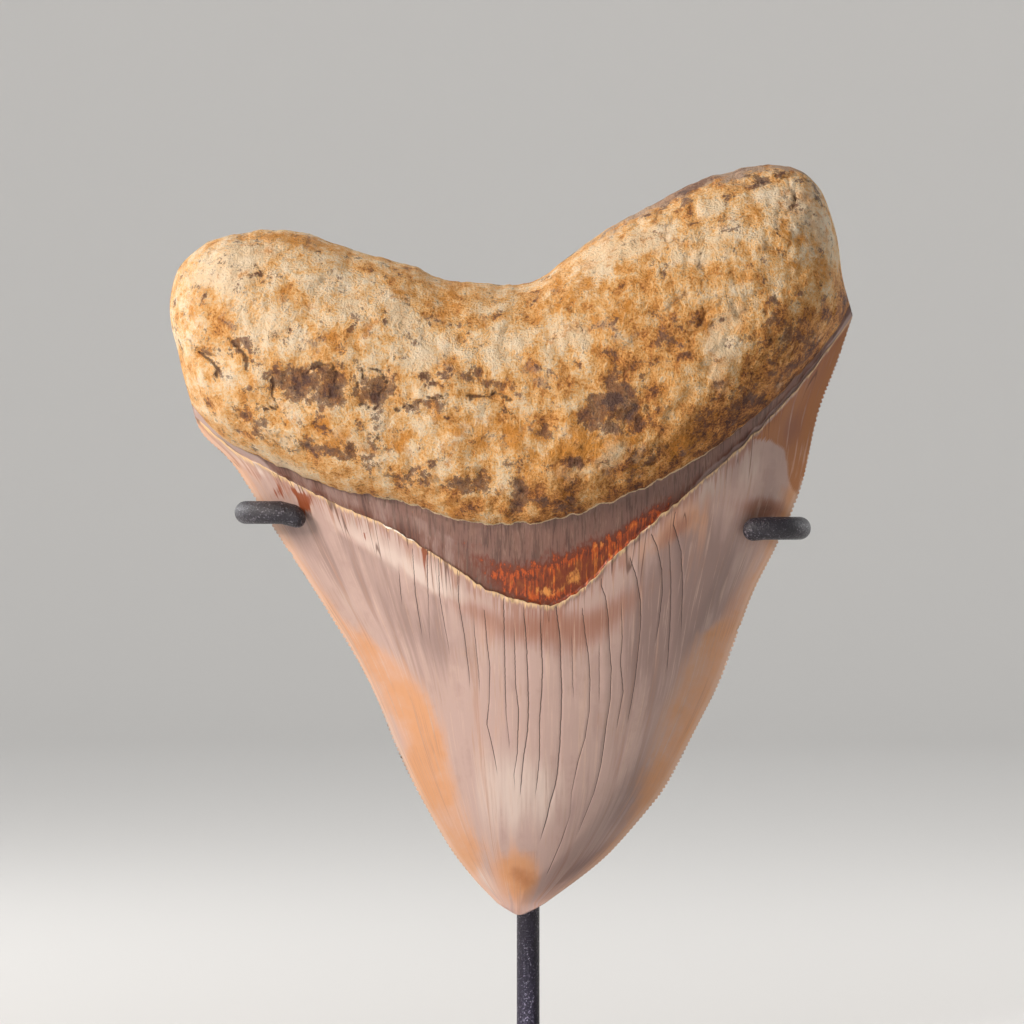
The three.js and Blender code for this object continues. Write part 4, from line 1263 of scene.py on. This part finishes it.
glaze = paint_over(tree, linear("#BFA298"), [
    (cloud, broad, 0.6, 0.5, 0.75, 0.5, "#CFB3A4"),
    (cloud, broad, -0.7, 0.52, 0.7, 0.4, "#A98C83"),
    # Pale enamel, with a painted highlight low in the crown's middle.
    ("pale", broad, 1.6, 0.25, 0.9, 0.85, "#DAC7BC"),
    # Mauve grey stains, and painted shade over the crown's right side.
    ("grey", broad, 2.2, 0.2, 0.95, 0.85, "#917770"),
    ("peach", broad, 2.4, 0.15, 0.8, 0.65, "#D6A485"),
    ("peach", cloud, 1.8, 0.3, 1.1, 0.65, "#D39257"),
    # Painted highlight: a paler rim along the cutting edges.
    ("edge", fine, 0.8, 0.2, 0.9, 0.45, "#DFC3AE"),
    ("tan", cloud, 1.2, 0.3, 0.8, 0.9, "#AC6C38"),
    ("brown", fine, 0.9, 0.2, 0.95, 0.85, "#9B654D"),
    ("brown", broad, 0.8, 1.0, 1.35, 0.85, "#4A2A1D"),
    (fine, cloud, 0.3, 0.54, 0.72, 0.4, "#9B7565"),
    (fine, cloud, -0.3, 0.55, 0.7, 0.4, "#E0C4B2"),
    (broad, fine, 0.5, 0.58, 0.7, 0.35, "#A37C6C"),
    (inwards, fine, 22.0, -4.0, -0.5, 0.5, "#9C6046"),
    (inwards, fine, 4.0, -1.1, -0.1, 0.85, "#E9C896"),
    (hair, broad, 1.6, -0.7, -0.3, 0.75, "#5B3627"),
    ("rust", fine, 1.4, 0.4, 0.75, 0.95, "#8F4621"),
    ("crack", fine, 0.3, 0.3, 0.75, 0.96, "#3A2119"),
    # Painted highlights: white specks on the broken edge.
    ("painted_glint", fine, 1.0, 0.5, 0.75, 1.0, "#FFF8EC"),
])
bump = add(tree, "ShaderNodeBump", {"Height": fine, "Strength": 0.25, "Distance": ENAMEL_RELIEF * MM})
end_tree(tree, {"Base Color": glaze, "Roughness": 0.34, "IOR": 1.6, "Normal": bump.outputs[0]})
print(enamel.name, "has", len(tree.nodes), "nodes")

# %% [markdown]
# ## The band of thin enamel
#
# Between crown and root lies a band where the glaze was always thin. Here it is a grey brown, like
# stained horn, with the same fine lines running down it. In its lowest part the glaze is gone and iron has
# coloured what lies under it a glassy red orange.

# %% The band's material
BAND_FINE = {"across_mm": 0.42, "along_mm": 6.0, "detail": 4.0}
BAND_BROAD = {"across_mm": 2.0, "along_mm": 9.0, "detail": 5.0}
CELL_WIDTH, CELL_HEIGHT = 0.9, 1.9
BAND_RELIEF = 0.15

band, tree = new_material("worn_band_enamel")
fine, broad = streaks(tree, **BAND_FINE), streaks(tree, **BAND_BROAD)
place = add(tree, "ShaderNodeTexCoord").outputs["Object"]
cell_scale = (per_metre(CELL_WIDTH), per_metre(CELL_WIDTH), per_metre(CELL_HEIGHT))
cell_place = add(tree, "ShaderNodeMapping", {"Vector": place, "Scale": cell_scale}).outputs[0]
cell_noise = {"Vector": cell_place, "Scale": 1.0, "Detail": 4.0, "Roughness": 0.62}
cells = add(tree, "ShaderNodeTexNoise", cell_noise).outputs["Fac"]
horn = paint_over(tree, linear("#7F5D52"), [
    ("rise", broad, -0.8, 0.55, 0.3, 0.75, "#6E4130"),
    (fine, broad, 0.5, 0.49, 0.6, 0.8, "#A58474"),
    (fine, broad, -0.4, 0.5, 0.6, 0.75, "#4E342C"),
    (broad, fine, 0.5, 0.53, 0.65, 0.6, "#6A4538"),
    ("orange", cells, 1.6, 0.2, 0.8, 0.95, "#6E2A0B"),
    ("orange", cells, 3.4, 0.75, 1.15, 0.95, "#BE520D"),
    ("orange", cells, 4.6, 1.35, 1.9, 0.85, "#DA7C26"),
    ("pale", broad, 0.8, 0.4, 0.9, 0.8, "#BFA8A2"),
    ("orange", fine, -3.4, 0.95, 1.3, 0.75, "#571F0F"),
    # Gold specks: painted highlights on the glassy orange.
    ("gold", cells, 2.4, 0.4, 1.0, 0.85, "#E39A4A"),
    ("lip", cells, 2.0, 0.55, 0.9, 0.85, "#E4C79E"),
])
bump = add(tree, "ShaderNodeBump", {"Height": fine, "Strength": 0.6, "Distance": BAND_RELIEF * MM})
end_tree(tree, {"Base Color": horn, "Roughness": 0.38, "IOR": 1.55, "Normal": bump.outputs[0]})
print(band.name, "has", len(tree.nodes), "nodes")

# %% The finished tooth
finish_piece(tooth_bm, "fossil_tooth", "tooth", [enamel, band, root_bone])

# %% [markdown]
# ## The stand's rods
#
# The stand is a small weldment of round steel rod. Each arm is one rod bent in half a turn round the
# tooth's edge. A path and a bevelled curve would do, but spin follows a bend exactly: a circle is drawn
# along the straight leg, spun round the bend's centre and drawn back along the front leg to a round end.

# %% Sizes of the stand
ROD_RADIUS, ROD_SIDES = 2.4, 40
POST_Y, POST_TOP = 13, 139
PLATE_THICKNESS, PAD_THICKNESS = 8, 1.5
PLATE_CORNER, PLATE_BEVEL, PAD_CORNER, PAD_BEVEL = 7, 1, 5, 0.3
LEG_SPREAD = 15.1
LEFT_ARM = {"side": -1, "height": 134.5, "reach": 59.1, "tip": 46.4, "droop": 0.7}
RIGHT_ARM = {"side": 1, "height": 131.2, "reach": 56.8, "tip": 44.7, "droop": 0.2}
BEND_STEPS, LEG_STEPS, END_STEPS = 36, 12, 10
END_ANGLE = math.radians(84)


def draw_on(bm, ring, move=(0, 0, 0), widen=1.0):
    """Extrudes a ring of edges along a move in mm, makes the new ring wider or narrower and gives it."""
    made = bmesh.ops.extrude_edge_only(bm, edges=ring)["geom"]
    verts = [item for item in made if isinstance(item, bmesh.types.BMVert)]
    bmesh.ops.translate(bm, verts=verts, vec=Vector(move) * MM)
    centre = sum((vert.co for vert in verts), Vector()) / len(verts)
    bmesh.ops.scale(bm, verts=verts, vec=Vector((widen,) * 3), space=Matrix.Translation(-centre))
    return [item for item in made if isinstance(item, bmesh.types.BMEdge) and item.is_boundary]


def start_rod(centre, turn, radius):
    """A mesh with one ring of a radius round a place, both in mm."""
    bm = bmesh.new()
    matrix = Matrix.Translation(Vector(centre) * MM) @ turn
    bmesh.ops.create_circle(bm, segments=ROD_SIDES, radius=radius * MM, matrix=matrix)
    return bm, list(bm.edges)


def round_end(bm, ring, along):
    """Rounds a rod's end to nearly a half ball, in the direction it runs."""
    angles = np.linspace(0, END_ANGLE, END_STEPS + 1)
    for low, high in zip(angles, angles[1:]):
        ahead = (math.sin(high) - math.sin(low)) * ROD_RADIUS
        ring = draw_on(bm, ring, Vector(along) * ahead, math.cos(high) / math.cos(low))


def close_rod(bm):
    """Fills a rod's open ends, turns its faces outwards and shades it smooth."""
    bmesh.ops.holes_fill(bm, edges=[each for each in bm.edges if each.is_boundary], sides=ROD_SIDES)
    bmesh.ops.recalc_face_normals(bm, faces=bm.faces)
    for face in bm.faces:
        face.smooth = True


# %% [markdown]
# ## Textured powder coat and rubber
#
# The steel was sprayed with black powder and baked. This coat isn't smooth: it sets in a fine orange peel
# of bumps, and each bump that faces a lamp is a bright speck. Pale specks are also painted into the coat's
# colour on the high bumps, as painted highlights. The bumps are drawn about 0.4 mm apart, a little coarser
# than the real ones, so that they show. The foot stands on a sheet of plain black rubber, matte all over,
# whose grain is drawn coarse too.

# %% The coat and the rubber
COAT_BUMPS, COAT_PATCHES, COAT_RELIEF = 0.42, 6.0, 0.3
RUBBER_GRAIN, RUBBER_RELIEF = 0.9, 0.1

powder_coat, tree = new_material("textured_black_powder_coat")
place = add(tree, "ShaderNodeTexCoord").outputs["Object"]
bumps_scale = {"Vector": place, "Scale": per_metre(COAT_BUMPS), "Detail": 2.0, "Roughness": 0.55}
bumps = add(tree, "ShaderNodeTexNoise", bumps_scale).outputs["Fac"]
patch_scale = {"Vector": place, "Scale": per_metre(COAT_PATCHES), "Detail": 3.0}
patches = add(tree, "ShaderNodeTexNoise", patch_scale).outputs["Fac"]
coat = paint_over(tree, linear("#25222B"), [
    (patches, bumps, 0.3, 0.6, 0.85, 0.6, "#3A3640"),
    # Pale specks on the high bumps: painted highlights.
    (bumps, patches, 0.2, 0.58, 0.7, 0.6, "#9A94A0"),
])
shine = {"Value": bumps, "From Min": 0.35, "From Max": 0.75, "To Min": 0.5, "To Max": 0.3}
shine = add(tree, "ShaderNodeMapRange", shine).outputs[0]
bump = add(tree, "ShaderNodeBump", {"Height": bumps, "Strength": 1.0, "Distance": COAT_RELIEF * MM})
end_tree(tree, {"Base Color": coat, "Roughness": shine, "IOR": 1.55, "Normal": bump.outputs[0]})

rubber, tree = new_material("matte_black_rubber")
place = add(tree, "ShaderNodeTexCoord").outputs["Object"]
grain_scale = {"Vector": place, "Scale": per_metre(RUBBER_GRAIN), "Detail": 3.0}
grain = add(tree, "ShaderNodeTexNoise", grain_scale).outputs["Fac"]
dusty = paint_over(tree, linear("#1B1B1C"), [(grain, grain, 0.0, 0.55, 0.8, 0.5, "#2A2A2B")])
bump = add(tree, "ShaderNodeBump", {"Height": grain, "Strength": 0.4, "Distance": RUBBER_RELIEF * MM})
end_tree(tree, {"Base Color": dusty, "Roughness": 0.85, "Normal": bump.outputs[0]})
print("The stand's materials are", powder_coat.name, "and", rubber.name)

# %% [markdown]
# ## Post, hooks and foot
#
# Each arm is brazed to the post, so its first rings flare into a small fillet that runs into the rod.
# The foot is a flat plate with round corners, and a ring of weld runs round the post where it enters.

# %% The post
POST_GAP, POST_ROUND = 0.3, 1

post_bm, ring = start_rod((0, POST_Y, PAD_THICKNESS + POST_GAP), Matrix.Identity(4), ROD_RADIUS)
ring = draw_on(post_bm, ring, (0, 0, POST_TOP - POST_ROUND - PAD_THICKNESS - POST_GAP))
angles = np.radians(range(0, 105, 15))
for low, high in zip(angles, angles[1:]):
    rise = (math.sin(high) - math.sin(low)) * POST_ROUND
    shrink = (math.cos(low) - math.cos(high)) * POST_ROUND
    radius_now = ROD_RADIUS - POST_ROUND + POST_ROUND * math.cos(low)
    ring = draw_on(post_bm, ring, (0, 0, rise), (radius_now - shrink) / radius_now)
close_rod(post_bm)
finish_piece(post_bm, "post_rod", "post", [powder_coat])

# %% The hooks
# Where the fillet's rings stand along the arm, and their radii
BRAZE = [(1.9, 3.5), (2.35, 3.1), (2.9, 2.8), (3.6, 2.56), (4.6, 2.44), (6.0, 2.4)]


def make_hook(name, node_name, arm):
    """One bent arm: a braze fillet at the post, a straight leg, half a turn and a front leg."""
    bend_x, height = arm["reach"] - LEG_SPREAD / 2, arm["height"]
    bm, ring = start_rod((BRAZE[0][0], POST_Y, height), Matrix.Rotation(math.pi / 2, 4, "Y"), BRAZE[0][1])
    for (x, radius), (next_x, next_radius) in zip(BRAZE, BRAZE[1:]):
        ring = draw_on(bm, ring, (next_x - x, 0, 0), next_radius / radius)
    for _ in range(LEG_STEPS):
        ring = draw_on(bm, ring, ((bend_x - BRAZE[-1][0]) / LEG_STEPS, 0, 0))
    geometry = ring + list({vert for each in ring for vert in each.verts})
    centre = Vector((bend_x, POST_Y - LEG_SPREAD / 2, height)) * MM
    turned = bmesh.ops.spin(
        bm, geom=geometry, cent=centre, axis=(0, 0, 1), angle=-math.pi, steps=BEND_STEPS, use_merge=False
    )
    ring = [item for item in turned["geom_last"] if isinstance(item, bmesh.types.BMEdge)]
    front_leg = bend_x - arm["tip"] - ROD_RADIUS
    for _ in range(LEG_STEPS):
        ring = draw_on(bm, ring, (-front_leg / LEG_STEPS, 0, 0))
    round_end(bm, ring, (-1, 0, 0))
    for vert in bm.verts:
        past = bend_x - vert.co.x / MM
        if past > 0 and vert.co.y < centre.y:
            vert.co.z -= arm["droop"] * past / front_leg * MM
    bmesh.ops.remove_doubles(bm, verts=bm.verts, dist=0.001 * MM)
    bmesh.ops.scale(bm, verts=bm.verts, vec=(arm["side"], 1, 1))
    close_rod(bm)
    finish_piece(bm, name, node_name, [powder_coat])


make_hook("left_hook", "left_arm", LEFT_ARM)
make_hook("right_hook", "right_arm", RIGHT_ARM)


# %% The foot and its pad
CORNER_STEPS, BEVEL_STEPS = 12, 4
WELD_REACH, WELD_ANGLES, INTO_POST, INTO_PLATE = 2.2, 7, 0.3, 0.2


def slab(node_name, corner, bevel_size):
    """A flat slab that fills a node's box, with round corners and softened edges."""
    low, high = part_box(node_name)
    bm = bmesh.new()
    bmesh.ops.create_cube(bm, size=1.0)
    bmesh.ops.scale(bm, verts=bm.verts, vec=high - low)
    bmesh.ops.translate(bm, verts=bm.verts, vec=(high + low) / 2)
    upright_edges = [
        each for each in bm.edges if abs(each.verts[0].co.z - each.verts[1].co.z) > bevel_size * MM
    ]
    common = {"affect": "EDGES", "profile": 0.5, "material": -1, "offset_type": "OFFSET"}
    bmesh.ops.bevel(bm, geom=upright_edges, offset=corner * MM, segments=CORNER_STEPS, **common)
    flat_faces = [face for face in bm.faces if abs(face.normal.z) > 0.9]
    rim = list({each for face in flat_faces for each in face.edges})
    bmesh.ops.bevel(bm, geom=rim, offset=bevel_size * MM, segments=BEVEL_STEPS, **common)
    for face in bm.faces:
        face.smooth = abs(face.normal.z) < 0.999
    return bm


def add_weld(bm, top):
    """A ring of weld round the post: a hollow fillet, spun once round."""
    angles = np.linspace(0, math.pi / 2, WELD_ANGLES)
    places = [
        (ROD_RADIUS + WELD_REACH * (1 - math.sin(a)), top + WELD_REACH * (1 - math.cos(a))) for a in angles
    ]
    inner, outer = ROD_RADIUS - INTO_POST, ROD_RADIUS + WELD_REACH
    places += [(inner, top + WELD_REACH), (inner, top - INTO_PLATE), (outer, top - INTO_PLATE)]
    verts = [bm.verts.new(Vector((r, POST_Y, z)) * MM) for r, z in places]
    edges = [bm.edges.new(pair) for pair in zip(verts, verts[1:] + verts[:1])]
    bmesh.ops.spin(
        bm, geom=verts + edges, cent=Vector((0, POST_Y, 0)) * MM, axis=(0, 0, 1), angle=2 * math.pi,
        steps=ROD_SIDES, use_merge=True
    )


foot_bm = slab("base_plate", PLATE_CORNER, PLATE_BEVEL)
add_weld(foot_bm, PAD_THICKNESS + PLATE_THICKNESS)
bmesh.ops.remove_doubles(foot_bm, verts=foot_bm.verts, dist=0.001 * MM)
bmesh.ops.recalc_face_normals(foot_bm, faces=foot_bm.faces)
finish_piece(foot_bm, "foot_plate", "base_plate", [powder_coat])
finish_piece(slab("rubber_pad", PAD_CORNER, PAD_BEVEL), "foot_pad", "rubber_pad", [rubber])

# %% [markdown]
# ## The studio
#
# A plain pale floor that curves up into a wall all round gives an even ground from every side, with no
# horizon line. One large soft lamp stands to the upper left, as in the photograph, and a weak one fills
# the right. Two smaller lamps behind the tooth draw a thin light along its edges, and one brightens the
# wall. A small cool lamp low on the left shines only on the post under the tip.

# %% Floor and wall
FLOOR_RADIUS, CORNER_RADIUS, WALL_HEIGHT = 2.7, 1.0, 3.0
CORNER_ANGLES, STUDIO_SIDES = 13, 96

studio_bm = bmesh.new()
profile = [(0, 0), (FLOOR_RADIUS, 0)]
profile += [
    (FLOOR_RADIUS + CORNER_RADIUS * math.sin(a), CORNER_RADIUS * (1 - math.cos(a)))
    for a in np.linspace(0, math.pi / 2, CORNER_ANGLES)[1:]
]
profile += [(FLOOR_RADIUS + CORNER_RADIUS, WALL_HEIGHT)]
verts = [studio_bm.verts.new((r, 0, z)) for r, z in profile]
edges = [studio_bm.edges.new(pair) for pair in zip(verts, verts[1:])]
bmesh.ops.spin(
    studio_bm, geom=verts + edges, cent=(0, 0, 0), axis=(0, 0, 1), angle=2 * math.pi,
    steps=STUDIO_SIDES, use_merge=True
)
bmesh.ops.remove_doubles(studio_bm, verts=studio_bm.verts, dist=1e-5)
bmesh.ops.recalc_face_normals(studio_bm, faces=studio_bm.faces)
for face in studio_bm.faces:
    face.smooth = True
studio_mesh = bpy.data.meshes.new("studio_floor")
studio_bm.to_mesh(studio_mesh)
studio_bm.free()
studio = bpy.data.objects.new("studio_floor", studio_mesh)
bpy.context.scene.collection.objects.link(studio)
paper, tree = new_material("matte_paper_backdrop")
end_tree(tree, {"Base Color": "#DAD9D7", "Roughness": 0.9})
studio_mesh.materials.append(paper)
studio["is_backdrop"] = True

# %% Lamps
AIM = Vector((0, 0, 0.135))
LAMPS = {
    "key": {"at": (-1.2, -1.0, 0.8), "aim": AIM, "size": 0.6, "watts": 31, "colour": "#FFF5EC"},
    "fill": {"at": (1.2, -1.3, 0.4), "aim": AIM, "size": 1.0, "watts": 1.0, "colour": "#F4F6FF"},
    "rim_left": {"at": (-1.0, 0.75, 0.5), "aim": AIM, "size": 0.5, "watts": 9, "colour": "#FFFFFF"},
    "rim_right": {"at": (1.0, 0.75, 0.4), "aim": AIM, "size": 0.5, "watts": 4, "colour": "#FFFFFF"},
    "low": {
        "at": (-0.45, -0.85, 0.05), "aim": Vector((0, 0.013, -0.026)), "size": 0.1, "watts": 0.2,
        "colour": "#F2F0FF", "spread": 5,
    },
    "backdrop": {
        "at": (0, 1.2, 2.4), "aim": Vector((0, 3.4, 0.4)), "size": 1.5, "watts": 34, "colour": "#FFFFFF",
    },
}
AIR_COLOUR, AIR_STRENGTH = "#E9EBEE", 0.2
for name, lamp in LAMPS.items():
    light = bpy.data.lights.new(name, "AREA")
    light.size = lamp["size"]
    light.energy = lamp["watts"]
    light.color = linear(lamp["colour"])[:3]
    light.spread = math.radians(lamp.get("spread", 180))
    holder = bpy.data.objects.new(name, light)
    holder.location = lamp["at"]
    holder.rotation_euler = (lamp["aim"] - holder.location).to_track_quat("-Z", "Y").to_euler()
    bpy.context.scene.collection.objects.link(holder)
world = bpy.data.worlds.new("studio_air")
world.use_nodes = True
air = world.node_tree.nodes["Background"]
air.inputs["Color"].default_value = linear(AIR_COLOUR)
air.inputs["Strength"].default_value = AIR_STRENGTH
bpy.context.scene.world = world
bpy.context.scene.view_settings.view_transform = "Standard"
print("The studio has", len(LAMPS), "lamps")

# %% [markdown]
# ## The camera
#
# The photograph was taken level, from straight in front, with a long lens. Its frame is 215 mm wide at
# the tooth.

# %% Camera
FRAME_WIDTH, LENS, SENSOR = 215, 250, 36
VIEW_X, VIEW_Z = -3.4, 134.6

camera_data = bpy.data.cameras.new("camera")
camera_data.lens = LENS
camera_data.sensor_width = SENSOR
camera = bpy.data.objects.new("camera", camera_data)
camera.location = Vector((VIEW_X, EDGE_Y_AT_TIP - FRAME_WIDTH * LENS / SENSOR, VIEW_Z)) * MM
camera.rotation_euler = (math.pi / 2, 0, 0)
bpy.context.scene.collection.objects.link(camera)
bpy.context.scene.camera = camera
print("The camera stands", round(-camera.location.y, 3), "m in front")

# %% Sizes before and after
low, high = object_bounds()
print("The finished model reaches from", tuple(low), "to", tuple(high))
